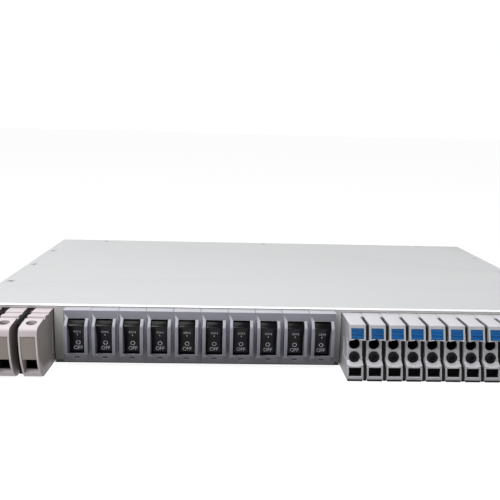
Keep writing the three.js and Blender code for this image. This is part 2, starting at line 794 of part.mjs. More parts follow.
const inputRow = [inputLeft, inputRight];
const outputRow = [outputLeft, bracketLeft + bracketWidth];
place('input_rail', buildRail([inputRow[0] - railOverhang, inputRow[1] + railOverhang]), zincSteel());
place('output_rail', buildRail([outputRow[0] - railOverhang, outputRow[1] + railTail]), zincSteel());

const inputTerminal = buildInputTerminal();
const inputScrew = buildInputScrew();
for (const index of times(inputCount)) {
  const terminal = place(numbered('input_terminal', index), inputTerminal, inputPlastic());
  const screw = place(numbered('input_clamp_screw', index), inputScrew, zincSteel());
  terminal.position.x = -index * inputPitch;
  screw.position.x = -index * inputPitch;
}

const outputTerminal = buildOutputTerminal();
for (const index of times(outputCount)) {
  const terminal = place(numbered('output_terminal', index), outputTerminal, outputPlastic());
  terminal.position.x = index * outputPitch;
}
place('output_end_bracket', buildEndBracket(), outputPlastic());

place('line_busbar', buildBusbar(), copper());
for (const index of times(breakerCount)) {
  place(numbered('output_wire', index), buildOutputWire(index), wireRed());
}
for (const index of times(feedCount)) {
  place(numbered('feed_cable', index), buildFeedCable(index), wireBlack());
}
place('earth_cable', buildEarthCable(), wireGreen());
place('earth_stud', buildEarthStud(), brass());

// The part's origin is the middle of its footprint, at the underside.
chassis.position.y = -(inputFront + bodyDepth) / 2;

const unit = new THREE.Group();
unit.add(chassis);

export default unit;
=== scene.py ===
"""Looks for a 1U rack-mount DC power distribution unit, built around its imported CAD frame.
Lengths are millimetres in the part's frame unless a comment says otherwise."""
import json
import math

import bmesh
import bpy
from mathutils import Matrix, Vector


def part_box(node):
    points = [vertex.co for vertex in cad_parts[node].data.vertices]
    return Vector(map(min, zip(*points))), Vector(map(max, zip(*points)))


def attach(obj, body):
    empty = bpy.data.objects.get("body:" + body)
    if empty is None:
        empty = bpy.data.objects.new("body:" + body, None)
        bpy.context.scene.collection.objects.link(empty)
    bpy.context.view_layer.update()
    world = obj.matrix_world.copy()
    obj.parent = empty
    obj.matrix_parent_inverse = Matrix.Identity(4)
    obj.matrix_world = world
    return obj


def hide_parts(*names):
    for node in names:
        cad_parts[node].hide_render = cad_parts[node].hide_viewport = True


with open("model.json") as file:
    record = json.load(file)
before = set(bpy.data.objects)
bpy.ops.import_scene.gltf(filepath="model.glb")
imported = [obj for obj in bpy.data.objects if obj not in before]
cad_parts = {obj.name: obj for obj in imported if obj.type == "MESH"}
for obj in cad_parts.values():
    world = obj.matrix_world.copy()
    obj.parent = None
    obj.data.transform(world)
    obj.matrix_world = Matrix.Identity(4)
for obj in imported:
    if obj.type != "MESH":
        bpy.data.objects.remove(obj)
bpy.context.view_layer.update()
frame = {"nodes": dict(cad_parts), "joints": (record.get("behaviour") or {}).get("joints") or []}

MM = 0.001
ROOT = "chassis"
ROUND_SIDES = 32  # flats around a turned piece
SMOOTH_ANGLE = math.radians(40)  # facets that meet at less are shaded as one surface


# ---------------------------------------------------------------- frame measures
def cad(node):
    """A CAD node's lowest and highest corners, in millimetres."""
    low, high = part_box(node)
    return Vector(low) / MM, Vector(high) / MM


def numbered(stem, count):
    """The names of a row of nodes, from stem_01."""
    return [f"{stem}_{index + 1:02d}" for index in range(count)]


BREAKERS = numbered("breaker_case", 10)
ROCKERS = numbered("rocker", 10)
INPUTS = numbered("input_terminal", 3)
INPUT_SCREWS = numbered("input_clamp_screw", 3)
OUTPUTS = numbered("output_terminal", 10)

cover_low, cover_high = cad("top_cover")
EDGE_Y = cover_low.y  # the cover's front edge, which the front pieces are laid out from
pivots = {joint["child"]: Vector(joint["pos_m"]) / MM for joint in frame["joints"]}


# ---------------------------------------------------------------- mesh helpers
def new_object(name, data):
    """An object in the scene that shows the data."""
    thing = bpy.data.objects.new(name, data)
    bpy.context.scene.collection.objects.link(thing)
    return thing


def mesh_object(name, bm):
    """A new object from a bmesh drawn in millimetres."""
    bmesh.ops.recalc_face_normals(bm, faces=bm.faces)
    mesh = bpy.data.meshes.new(name)
    bm.transform(Matrix.Scale(MM, 4))
    bm.to_mesh(mesh)
    bm.free()
    return new_object(name, mesh)


def along(axis, a, b, depth):
    """The point whose depth runs along the axis and whose other two coordinates are a and b."""
    return {"x": (depth, a, b), "y": (a, depth, b), "z": (a, b, depth)}[axis]


def prism(outline, axis, low, high, name="cutter"):
    """An outline in the two other axes, in X, Y, Z order, extruded from low to high."""
    bm = bmesh.new()
    rings = [[bm.verts.new(along(axis, a, b, depth)) for a, b in outline] for depth in (low, high)]
    count = len(outline)
    for ring in rings:
        bm.faces.new(ring)
    for index in range(count):
        after = (index + 1) % count
        bm.faces.new((rings[0][index], rings[0][after], rings[1][after], rings[1][index]))
    return mesh_object(name, bm)


def block(low, high, name="cutter"):
    """A box between its lowest and highest corners."""
    outline = [(low[0], low[1]), (high[0], low[1]), (high[0], high[1]), (low[0], high[1])]
    return prism(outline, "z", low[2], high[2], name)


def arc(centre, radius, start, stop, steps):
    """Points on an arc, from start to stop in degrees."""
    turns = [math.radians(start + (stop - start) * step / steps) for step in range(steps + 1)]
    return [(centre[0] + radius * math.cos(t), centre[1] + radius * math.sin(t)) for t in turns]


def rounded(low, high, radius, steps=5):
    """A rectangle with round corners."""
    (x0, y0), (x1, y1) = low, high
    corners = [((x1 - radius, y1 - radius), 0), ((x0 + radius, y1 - radius), 90),
               ((x0 + radius, y0 + radius), 180), ((x1 - radius, y0 + radius), 270)]
    return [point for centre, turn in corners for point in arc(centre, radius, turn, turn + 90, steps)]


def fillet(points, radii, steps=4):
    """An outline whose corners are rounded: a radius for each point, 0 for a sharp one."""
    result = []
    for index, (point, radius) in enumerate(zip(points, radii)):
        corner = Vector(point)
        if not radius:
            result.append(tuple(corner))
            continue
        before = (Vector(points[index - 1]) - corner).normalized()
        after = (Vector(points[(index + 1) % len(points)]) - corner).normalized()
        half = before.angle(after) / 2
        reach = radius / math.tan(half)
        centre = corner + (before + after).normalized() * radius / math.sin(half)
        start = corner + before * reach - centre
        sweep = start.angle_signed(corner + after * reach - centre)
        for step in range(steps + 1):
            turn = Matrix.Rotation(-sweep * step / steps, 2)
            result.append(tuple(centre + turn @ start))
    return result


def cylinder(axis, at, low, high, radius, end_radius=None, sides=ROUND_SIDES, name="cutter"):
    """A round bar along an axis, or a cone where its end radius differs."""
    end_radius = radius if end_radius is None else end_radius
    bm = bmesh.new()
    rings = []
    for depth, size in ((low, radius), (high, end_radius)):
        turns = [2 * math.pi * side / sides for side in range(sides)]
        rings.append([
            bm.verts.new(along(axis, at[0] + size * math.cos(t), at[1] + size * math.sin(t), depth))
            for t in turns
        ])
    for ring in rings:
        bm.faces.new(ring)
    for index in range(sides):
        after = (index + 1) % sides
        bm.faces.new((rings[0][index], rings[0][after], rings[1][after], rings[1][index]))
    return mesh_object(name, bm)


def lathe(axis, at, profile, name):
    """A closed profile of (radius, depth) pairs, turned about the axis. It starts and ends on the axis."""
    bm = bmesh.new()
    turns = [2 * math.pi * side / ROUND_SIDES for side in range(ROUND_SIDES)]
    rings = []
    for radius, depth in profile:
        if radius == 0:
            rings.append([bm.verts.new(along(axis, at[0], at[1], depth))])
        else:
            rings.append([
                bm.verts.new(along(axis, at[0] + radius * math.cos(t), at[1] + radius * math.sin(t), depth))
                for t in turns
            ])
    for first, second in zip(rings, rings[1:]):
        for index in range(ROUND_SIDES):
            after = (index + 1) % ROUND_SIDES
            corners = [first[index % len(first)], first[after % len(first)],
                       second[after % len(second)], second[index % len(second)]]
            bm.faces.new(list(dict.fromkeys(corners)))
    return mesh_object(name, bm)


def evaluated_mesh(thing):
    """A new mesh of what the object looks like with its modifiers, or its letters' depth."""
    graph = bpy.context.evaluated_depsgraph_get()
    return bpy.data.meshes.new_from_object(thing.evaluated_get(graph))


def settle(thing):
    """Writes the modifiers' result into the mesh."""
    mesh = evaluated_mesh(thing)
    old = thing.data
    thing.modifiers.clear()
    thing.data = mesh
    bpy.data.meshes.remove(old)


def merge(target, others, operation):
    """Joins or cuts the target with each of the other solids, which are used up."""
    for other in others:
        modifier = target.modifiers.new("merge", "BOOLEAN")
        modifier.operation = operation
        modifier.solver = "EXACT"
        modifier.object = other
        settle(target)
        bpy.data.objects.remove(other)
    return target


def cut(target, *cutters):
    """Takes the cutters out of the target."""
    return merge(target, cutters, "DIFFERENCE")


def join(target, *others):
    """Makes one solid of the target and the others."""
    return merge(target, others, "UNION")


def soften(thing, width, segments=2, angle=32):
    """Rounds the edges and shades the small facets smoothly."""
    modifier = thing.modifiers.new("soften", "BEVEL")
    modifier.width = width * MM
    modifier.segments = segments
    modifier.limit_method = "ANGLE"
    modifier.angle_limit = math.radians(angle)
    settle(thing)
    return shade(thing)


def shade(thing):
    """Shades the small facets smoothly and keeps the sharp edges."""
    thing.data.polygons.foreach_set("use_smooth", [True] * len(thing.data.polygons))
    thing.data.set_sharp_from_angle(angle=SMOOTH_ANGLE)
    return thing


def piece(thing, name, material, body=ROOT, stands_for=()):
    """Names a finished piece, gives it its material, and hands it to its body."""
    thing.name = name
    thing.data.materials.clear()
    thing.data.materials.append(material)
    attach(thing, body)
    if stands_for:
        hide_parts(*stands_for)
    return thing


def copy_of(master, offset):
    """Another object that shares the master's mesh."""
    twin = new_object(master.name, master.data)
    twin.location = Vector(offset) * MM
    return twin


def discard(*masters):
    """Takes the masters away once their copies are placed."""
    for master in masters:
        bpy.data.objects.remove(master)


# ---------------------------------------------------------------- finishes
def tone(red, green, blue):
    """A display colour, 0 to 255, as the linear colour that the shaders use."""
    levels = [value / 255 for value in (red, green, blue)]
    return tuple(v / 12.92 if v <= 0.04045 else ((v + 0.055) / 1.055) ** 2.4 for v in levels) + (1.0,)


EDGE_REACH = 0.35  # how far from an edge the scuffing and painted highlight reach
HOLLOW_REACH = 3.0  # how close another surface is where the hollows take painted shade
RIDGE = (0.995, 0.9)  # likeness of the rounded and the true normal where the edge scuffing and painted highlight start, and where they are full
HOLLOW_SHADE_TINT = 0.25
SCUFF_AND_HIGHLIGHT_TINT = 1.35
BOTTOM_SHADE_TINT = 0.1
POLISH_SPREAD = 0.08  # how far roughness strays either way
PIECE_OFFSET = (0.9, 0.5, 0.7)  # metres that the pattern is moved by from piece to piece
FACING = (0.5, 0.85)  # a normal's share along an axis where a face starts to face it, and where it fully does


def finish(name, colour, roughness, metallic=0.0, grain=1800, relief=0.02, mottle=0.05,
           patch=30, variety=0.04, hollow_shade=0.35, scuff_and_highlight_colour=None, scuff_and_highlight=0.3, stretch=(1, 1, 1), gloss=0.5,
           top_light_colour=None, side_shade_colour=None, bottom_shade=0.0, bottom_shade_up_to=20.0):
    """A moulded, painted or metal surface: mottled, grained, darkened by painted shade in its hollows, and on
    its edges scuffed and in places lit by a painted highlight. grain and patch are cells per metre; relief
    and bottom_shade_up_to are in millimetres; variety is how far one piece's brightness strays from
    another's.
    Faces that look up or down take the painted top light, sideways faces the painted side shade, and painted
    bottom shade darkens the part below bottom_shade_up_to."""
    made = bpy.data.materials.new(name)
    made.use_nodes = True
    nodes = made.node_tree.nodes
    links = made.node_tree.links
    shader = nodes["Principled BSDF"]

    def node(kind, **settings):
        new = nodes.new("ShaderNode" + kind)
        for key, value in settings.items():
            setattr(new, key, value)
        return new

    def feed(source, socket):
        links.new(source, socket)

    def math_node(operation, first, second):
        new = node("Math", operation=operation, use_clamp=True)
        for socket, value in zip(new.inputs, (first, second)):
            if isinstance(value, (int, float)):
                socket.default_value = value
            else:
                feed(value, socket)
        return new.outputs[0]

    def blend(factor, first, second):
        new = node("Mix", data_type="RGBA")
        feed(factor, new.inputs["Factor"])
        for socket, value in ((new.inputs["A"], first), (new.inputs["B"], second)):
            if isinstance(value, tuple):
                socket.default_value = value
            else:
                feed(value, socket)
        return new.outputs["Result"]

    def noise(scale, detail, rough):
        new = node("TexNoise")
        feed(place.outputs[0], new.inputs["Vector"])
        new.inputs["Scale"].default_value = scale
        new.inputs["Detail"].default_value = detail
        new.inputs["Roughness"].default_value = rough
        return new.outputs["Fac"]

    def remap(value, start=0.0, stop=1.0, low=0.0, high=1.0):
        """low where the value is start, high where it is stop, and even between them."""
        new = node("MapRange")
        feed(value, new.inputs["Value"])
        for name, number in zip(("From Min", "From Max", "To Min", "To Max"), (start, stop, low, high)):
            new.inputs[name].default_value = number
        return new.outputs[0]

    def ranged(vector, axis, start, stop):
        """How far a vector's size along an axis is from start to stop, 0 to 1."""
        size = node("VectorMath", operation="ABSOLUTE")
        feed(vector, size.inputs[0])
        split = node("SeparateXYZ")
        feed(size.outputs[0], split.inputs[0])
        return remap(split.outputs[axis], start, stop)

    def tinted(factor):
        return tuple(min(1.0, channel * factor) for channel in colour[:3]) + (1.0,)

    coordinates = node("TexCoord")
    thing = node("ObjectInfo")
    spread = node("VectorMath", operation="SCALE")
    spread.inputs[0].default_value = PIECE_OFFSET
    feed(thing.outputs["Random"], spread.inputs["Scale"])
    shifted = node("VectorMath", operation="ADD")
    feed(coordinates.outputs["Object"], shifted.inputs[0])
    feed(spread.outputs[0], shifted.inputs[1])
    place = node("VectorMath", operation="MULTIPLY")
    feed(shifted.outputs[0], place.inputs[0])
    place.inputs[1].default_value = stretch

    patches = noise(patch, 4, 0.6)
    cells = noise(grain, 2, 0.5)

    body = blend(patches, tinted(1 - mottle), tinted(1 + mottle))
    varied = node("HueSaturation")
    feed(body, varied.inputs["Color"])
    feed(remap(thing.outputs["Random"], low=1 - variety, high=1 + variety), varied.inputs["Value"])

    # painted shade: the colour darkens in hollows, where another surface is close
    hollow = node("AmbientOcclusion", samples=4)
    hollow.inputs["Distance"].default_value = HOLLOW_REACH * MM
    buried = math_node("SUBTRACT", 1.0, hollow.outputs["AO"])
    hollow_shade_amount = math_node("MULTIPLY", buried, hollow_shade)
    hollow_shaded = blend(hollow_shade_amount, varied.outputs[0], tinted(HOLLOW_SHADE_TINT))

    # edges lightened: scuffing, and on some plastics a painted highlight where light would glint
    edge = node("Bevel", samples=4)
    edge.inputs["Radius"].default_value = EDGE_REACH * MM
    flat = node("NewGeometry")
    facing = node("VectorMath", operation="DOT_PRODUCT")
    feed(edge.outputs[0], facing.inputs[0])
    feed(flat.outputs["Normal"], facing.inputs[1])
    ridge = remap(facing.outputs["Value"], *RIDGE)
    scuff_and_highlight_mask = math_node("MULTIPLY", ridge, math_node("MULTIPLY", patches, scuff_and_highlight * 2))
    final = blend(scuff_and_highlight_mask, hollow_shaded, scuff_and_highlight_colour or tinted(SCUFF_AND_HIGHLIGHT_TINT))
    # painted light: faces that look up or down take a lighter colour
    if top_light_colour:
        final = blend(ranged(flat.outputs["Normal"], "Z", *FACING), final, top_light_colour)
    # painted shade: faces that look sideways along X take a darker colour
    if side_shade_colour:
        final = blend(ranged(flat.outputs["Normal"], "X", *FACING), final, side_shade_colour)
    # painted shade: darker towards the bottom
    if bottom_shade:
        depth = ranged(flat.outputs["Position"], "Z", bottom_shade_up_to * MM, 0.0)
        final = blend(math_node("MULTIPLY", depth, bottom_shade), final, tinted(BOTTOM_SHADE_TINT))
    feed(final, shader.inputs["Base Color"])

    polish = remap(patches, low=max(0.05, roughness - POLISH_SPREAD), high=roughness + POLISH_SPREAD)
    feed(polish, shader.inputs["Roughness"])

    bump = node("Bump")
    bump.inputs["Strength"].default_value = 1.0
    bump.inputs["Distance"].default_value = relief * MM
    feed(cells, bump.inputs["Height"])
    feed(bump.outputs[0], shader.inputs["Normal"])

    shader.inputs["Metallic"].default_value = metallic
    shader.inputs["Specular IOR Level"].default_value = gloss
    return made


PALE_STEEL = tone(225, 226, 228)
paint = finish("powder_coat", tone(198, 200, 201), 0.42, grain=1500, relief=0.02, mottle=0.015, patch=14,
               variety=0.0, hollow_shade=0.2, scuff_and_highlight_colour=PALE_STEEL, scuff_and_highlight=0.5)
# painted highlight: a near-white copy of the cover's paint for the top sheet's sloping front edge
nose_highlight_paint = finish("edge_coat", tone(248, 248, 250), 0.3, grain=1500, relief=0.01, mottle=0.01, patch=14,
                    variety=0.0, hollow_shade=0.0, scuff_and_highlight_colour=tone(252, 252, 252))
# painted shade: a darker copy of the pale paint for the recessed front panel, darker still towards its bottom
shaded_panel_paint = finish("panel_coat", tone(186, 184, 182), 0.5, grain=1500, relief=0.02, mottle=0.03, patch=20,
                     variety=0.0, hollow_shade=0.1, bottom_shade=1.0, bottom_shade_up_to=41.0)
# the grey front colour; painted light on faces that look up and down, painted highlight on its edges, the
# guards' ramps most, and painted shade towards the bottom
bezel_plastic = finish("breaker_grey", tone(117, 117, 127), 0.36, grain=2600, relief=0.012, mottle=0.07,
                       patch=60, variety=0.05, scuff_and_highlight_colour=tone(215, 215, 225), scuff_and_highlight=0.8, gloss=0.35,
                       top_light_colour=tone(186, 186, 194), bottom_shade=0.9, bottom_shade_up_to=26.0)
# edges lightened a little: scuffing, and a painted highlight on the ridge
rocker_plastic = finish("rocker_black", tone(8, 8, 11), 0.22, grain=2600, relief=0.004, mottle=0.15,
                        patch=70, variety=0.1, scuff_and_highlight_colour=tone(60, 60, 66), gloss=0.15)
# painted light on faces that look up and down, painted shade on the sides and towards the bottom
input_plastic = finish("input_plastic", tone(174, 164, 167), 0.45, grain=2200, relief=0.014, mottle=0.1,
                       patch=90, variety=0.03, gloss=0.35, top_light_colour=tone(212, 202, 206),
                       side_shade_colour=tone(140, 134, 130), bottom_shade=0.4)
# the label's own warm tint, darkened with painted shade of the down-facing pocket
shaded_label_plastic = finish("input_label", tone(120, 111, 105), 0.5, grain=2200, relief=0.01, mottle=0.08,
                       patch=90)
# painted light on faces that look up and down, painted shade towards the bottom
output_plastic = finish("output_plastic", tone(156, 156, 160), 0.45, grain=2200, relief=0.014, mottle=0.07,
                        patch=90, variety=0.03, gloss=0.35, scuff_and_highlight=0.5, scuff_and_highlight_colour=tone(225, 225, 230),
                        top_light_colour=tone(203, 203, 207), bottom_shade=0.3)
# strong painted shade in the rib grooves
marker_plastic = finish("marker_blue", tone(0, 76, 140), 0.35, grain=2200, relief=0.01, mottle=0.3, patch=140,
                        variety=0.2, scuff_and_highlight_colour=tone(60, 145, 190), scuff_and_highlight=0.8, hollow_shade=0.9, gloss=0.3)
black_plastic = finish("insert_black", tone(19, 18, 19), 0.5, grain=2200, relief=0.01, mottle=0.25, patch=90,
                       variety=0.1, scuff_and_highlight_colour=tone(48, 48, 50), gloss=0.15)
print_ink = finish("legend_ink", tone(158, 158, 164), 0.5, grain=4000, relief=0.004, mottle=0.3, patch=900,
                   hollow_shade=0.1, scuff_and_highlight=0.0)
zinc = finish("zinc_steel", tone(190, 193, 198), 0.3, metallic=1.0, grain=900, relief=0.004, mottle=0.12,
              patch=120, stretch=(1, 4, 1), scuff_and_highlight_colour=PALE_STEEL)
copper = finish("copper", tone(196, 118, 80), 0.3, metallic=1.0, grain=700, relief=0.004, mottle=0.2,
                patch=60, stretch=(6, 1, 1), scuff_and_highlight_colour=tone(230, 160, 120))
brass = finish("brass", tone(196, 164, 96), 0.3, metallic=1.0, grain=900, relief=0.004, mottle=0.15, patch=90)
WIRE = {"grain": 900, "relief": 0.01, "patch": 60, "hollow_shade": 0.2}
red_wire = finish("wire_red", tone(160, 28, 24), 0.4, mottle=0.1, **WIRE)
black_wire = finish("wire_black", tone(26, 26, 28), 0.4, mottle=0.2, **WIRE)
green_wire = finish("wire_green", tone(66, 130, 40), 0.4, mottle=0.1, **WIRE)


# ---------------------------------------------------------------- chassis sheet metal
COVER_SCREW_INSET = 6.0
REAR_SCREW_SPACING = 172.5
SIDE_SCREW_SPACING = 64.0
SCREW_SINK_RADIUS = 3.6
SCREW_BORE_RADIUS = 2.4
NOSE_LENGTH = 1.2  # the sloping front edge of the top sheet
NOSE_DROP = 1.0
NOSE_FACING = -0.3  # faces of the nose whose normal has a Y below this take the painted highlight
SCREW_SEAT_GAP = 0.05
SCREW_TURN = 0.7  # radians from one cover screw's cross to the next
CROSS_HALF_WIDTH = 0.42
EAR_GAP = 0.3  # between the cover's side and the ear
EAR_THICKNESS = 2.0
EAR_SCREW_PITCH = 22.0
EAR_SCREW_TURN = 0.5
EAR_HEAD_HEIGHT = 2.4
CUT_PAST = 0.01

cover_half = cover_high.x
cover_middle_y = (cover_low.y + cover_high.y) / 2
cover_screw_places = [
    place
    for step in (-1, 0, 1)
    for place in (
        (step * REAR_SCREW_SPACING, cover_high.y - COVER_SCREW_INSET),
        (COVER_SCREW_INSET - cover_half, cover_middle_y + step * SIDE_SCREW_SPACING),
        (cover_half - COVER_SCREW_INSET, cover_middle_y + step * SIDE_SCREW_SPACING),
    )
]


def build_cover():
    """The top sheet, with a rounded front edge and a countersink for each screw."""
    low, high = cover_low, cover_high
    outline = [(low.y, low.z), (high.y, low.z), (high.y, high.z), (low.y + NOSE_LENGTH, high.z),
               (low.y, high.z - NOSE_DROP)]
    sheet = prism(outline, "x", low.x, high.x, "top_sheet")
    sinks = [
        cylinder("z", place, low.z - CUT_PAST, high.z + CUT_PAST, SCREW_BORE_RADIUS, SCREW_SINK_RADIUS)
        for place in cover_screw_places
    ]
    cut(sheet, *sinks)
    soften(sheet, 0.22, segments=3, angle=35)
    piece(sheet, "top_sheet", paint, stands_for=["top_cover"])
    # the sloping front faces of the nose take the painted highlight
    sheet.data.materials.append(nose_highlight_paint)
    for face in sheet.data.polygons:
        face.material_index = int(face.normal.y < NOSE_FACING and face.center.y < (low.y + NOSE_LENGTH) * MM)


def cross_cutters(axis, top, depth, reach):
    """The cross recess of a screw head on the axis, whose top faces up along it."""
    bars = []
    for wide, tall in ((reach, CROSS_HALF_WIDTH), (CROSS_HALF_WIDTH, reach)):
        outline = [(-wide, -tall), (wide, -tall), (wide, tall), (-wide, tall)]
        bars.append(prism(outline, axis, top - depth, top + depth))
    return bars


def build_cover_screw():
    """A countersunk M4 screw with a cross recess, drawn with its top face at z = 0."""
    profile = [(0, 0), (3.25, 0), (3.3, -0.1), (2.0, -1.15), (1.55, -1.7), (1.5, -5.6), (1.2, -6), (0, -6)]
    screw = lathe("z", (0, 0), profile, name="cover_screw")
    cut(screw, *cross_cutters("z", top=0, depth=1.1, reach=1.7))
    return soften(screw, 0.06, segments=2, angle=40)


def build_ear_screw():
    """A pan-head M4 screw with a cross recess, drawn along X with its head's seat at x = 0."""
    profile = [(0, -5.5), (1.3, -5.5), (1.5, -5.2), (1.5, 0), (3.7, 0), (3.8, 0.4), (3.5, 1.5), (2.4, 2.2),
               (0, EAR_HEAD_HEIGHT)]
    screw = lathe("x", (0, 0), profile, name="ear_screw")
    cut(screw, *cross_cutters("x", top=EAR_HEAD_HEIGHT, depth=1.3, reach=1.9))
    return soften(screw, 0.08, segments=2, angle=40)


def place_cover_screws():
    cover_screw = build_cover_screw()
    for index, (x, y) in enumerate(cover_screw_places):
        screw = copy_of(cover_screw, (x, y, cover_high.z - SCREW_SEAT_GAP))
        screw.rotation_euler.z = SCREW_TURN * index
        piece(screw, f"cover_screw_{index + 1:02d}", zinc)
    discard(cover_screw)


def place_ear_screws():
    """Four screws through each ear's leg into the tray's side."""
    ear_screw = build_ear_screw()
    ear_low, ear_high = cad("rack_ear_right")
    leg_x = cover_half + EAR_GAP + EAR_THICKNESS
    middle_z = (ear_low.z + ear_high.z) / 2
    index = 0
    for side in (-1, 1):
        for step in (1, 2):
            for up in (-1, 1):
                index += 1
                place = (side * (leg_x + SCREW_SEAT_GAP), EDGE_Y + step * EAR_SCREW_PITCH,
                         middle_z + up * EAR_SCREW_PITCH / 2)
                screw = copy_of(ear_screw, place)
                screw.rotation_euler = (EAR_SCREW_TURN * index, 0, 0 if side > 0 else math.pi)
                piece(screw, f"ear_screw_{index:02d}", zinc)
    discard(ear_screw)


# ---------------------------------------------------------------- circuit breakers
# Cases and rockers are drawn around the rocker's pivot.
case_low, case_high = cad(BREAKERS[0])
CASE_HALF_X = (case_high.x - case_low.x) / 2
BEZEL_HALF_Z = (case_high.z - case_low.z) / 2
BEZEL_FRONT = -9.0
BEZEL_SKIN_BACK = -7.5
CASE_BACK = 46.0
CASE_HALF_Z = 16.05
CLIP = (2.1, 5.0, 0.9)  # front, rear and rise of the snap clip
WINDOW_HALF_X = 5.9
WINDOW_HALF_Z = 12.86
WINDOW_CORNER = 0.7
SLOT = ((-1.9, -16.3), (1.9, -14.5))  # the blind slot under the window, opposite corners
SLOT_CORNER = 0.85
SLOT_DEPTH = 1.4
PIN_RADIUS = 1.5
PIN_REACH = 1.6  # of a rocker's pin beyond the window's side
PIN_CLEARANCE = 0.2
HOLLOW_HALF_Z = 14.95
HOLLOW_BACK = 4.97
GUARD_FRONT = -14.0
GUARD_THICKNESS = 2.2
GUARD_RAMP = 4.8
GUARD_FOOT = 1.4
GUARD_ROOT = 0.4  # how far a guard runs into the bezel
STUD_RISE = 9.0
STUD_ROOT = 0.5
STUD_LENGTH = 10.0
STUD_RADIUS = 2.5
STUD_TIP = (2.0, 0.6)  # radius and length of the tip's chamfer

ROCKER_HALF_X = 5.6
ROCKER_VERTEX = 6.0
ROCKER_RADIUS = 14.5
ROCKER_TILT = math.radians(16)
ROCKER_HOLLOW = 28.0  # radius of the dished face between the two facets
ROCKER_TIP_RADIUS = 0.6
SKIRT_FRONT = -3.0  # where the round skirt ends behind the bezel's face
ROCKER_TAIL = [(0.0, 8.4), (3.2, 3.2)]
INK_THICKNESS = 0.03
INK_GAP = 0.05
LEGENDS = (  # words, width, height, and height above the rocker's middle
    ("ON", 4.8, 1.8, 5.7),
    ("I", 0.45, 1.5, 2.9),
    ("O", 3.2, 3.1, -3.6),
    ("OFF", 6.0, 2.6, -7.4),
)


def build_breaker_case():
    """The case behind the panel, and its bezel with the window and a guard on each side."""
    front, back, rise = CLIP
    upper = [(CASE_BACK, CASE_HALF_Z), (back, CASE_HALF_Z), (front, CASE_HALF_Z + rise), (front, CASE_HALF_Z),
             (0, CASE_HALF_Z), (0, BEZEL_HALF_Z), (BEZEL_FRONT, BEZEL_HALF_Z)]
    lower = [(y, -z) for y, z in reversed(upper)]
    case = prism(lower + upper, "x", -CASE_HALF_X, CASE_HALF_X, "breaker_case")
    window = rounded((-WINDOW_HALF_X, -WINDOW_HALF_Z), (WINDOW_HALF_X, WINDOW_HALF_Z), WINDOW_CORNER)
    hollow = block(
        (-WINDOW_HALF_X, BEZEL_SKIN_BACK, -HOLLOW_HALF_Z),
        (WINDOW_HALF_X, HOLLOW_BACK, HOLLOW_HALF_Z),
    )
    bore_half = WINDOW_HALF_X + PIN_REACH + PIN_CLEARANCE
    bore = cylinder("x", (0, 0), -bore_half, bore_half, PIN_RADIUS + PIN_CLEARANCE)
    cut(
        case,
        prism(window, "y", BEZEL_FRONT - 1, 0),
        hollow,
        bore,
        prism(rounded(*SLOT, SLOT_CORNER), "y", BEZEL_FRONT - 1, BEZEL_FRONT + SLOT_DEPTH),
    )
    soften(case, 0.3, segments=2, angle=40)
    guards = []
    for side in (-1, 1):
        outline = fillet(
            [(BEZEL_FRONT + GUARD_ROOT, WINDOW_HALF_Z + GUARD_ROOT), (BEZEL_FRONT, WINDOW_HALF_Z),
             (GUARD_FRONT, WINDOW_HALF_Z - GUARD_RAMP), (GUARD_FRONT, GUARD_FOOT - WINDOW_HALF_Z),
             (BEZEL_FRONT, -WINDOW_HALF_Z), (BEZEL_FRONT + GUARD_ROOT, -WINDOW_HALF_Z)],
            [0, 0, 5, 1.2, 0, 0],
        )
        near, far = WINDOW_HALF_X, WINDOW_HALF_X + GUARD_THICKNESS
        low, high = (near, far) if side > 0 else (-far, -near)
        guards.append(soften(prism(outline, "x", low, high, "guard"), 0.45, segments=3, angle=40))
    join(case, *guards)
    return shade(case)


def rocker_tip():
    """The facets' outer ends, (depth, height), on the rocker's round skirt."""
    slope = math.tan(ROCKER_TILT)
    spread = 1 + slope ** 2
    height = (math.sqrt(spread * ROCKER_RADIUS ** 2 - ROCKER_VERTEX ** 2) - ROCKER_VERTEX * slope) / spread
    return ROCKER_VERTEX + height * slope, height


def build_rocker():
    """A dished paddle with round skirts and two pivot pins, drawn level between its two positions."""
    depth, height = rocker_tip()
    start = math.degrees(math.atan2(height, -depth))
    stop = math.degrees(math.acos(SKIRT_FRONT / ROCKER_RADIUS))
    upper = arc((0, 0), ROCKER_RADIUS, start, stop, 10)[1:] + ROCKER_TAIL
    lower = [(y, -z) for y, z in reversed(upper)]
    points = [(-ROCKER_VERTEX, 0), (-depth, height), *upper, *lower, (-depth, -height)]
    straight = [0] * (len(upper) + len(lower))
    radii = [ROCKER_HOLLOW, ROCKER_TIP_RADIUS, *straight, ROCKER_TIP_RADIUS]
    paddle = prism(fillet(points, radii, steps=10), "x", -ROCKER_HALF_X, ROCKER_HALF_X, "rocker")
    soften(paddle, 0.3, segments=3, angle=50)
    pins = cylinder("x", (0, 0), -WINDOW_HALF_X - PIN_REACH, WINDOW_HALF_X + PIN_REACH, PIN_RADIUS)
    return shade(join(paddle, pins))


def face_at(level):
    """Depth and lean of the rocker's dished face at a height above its middle."""
    slope = math.tan(ROCKER_TILT)
    flat_from = ROCKER_HOLLOW * math.sin(ROCKER_TILT)
    if abs(level) > flat_from:
        return -ROCKER_VERTEX - abs(level) * slope, math.copysign(ROCKER_TILT, level)
    centre = -ROCKER_VERTEX - ROCKER_HOLLOW / math.cos(ROCKER_TILT)
    return centre + math.sqrt(ROCKER_HOLLOW ** 2 - level ** 2), math.asin(level / ROCKER_HOLLOW)


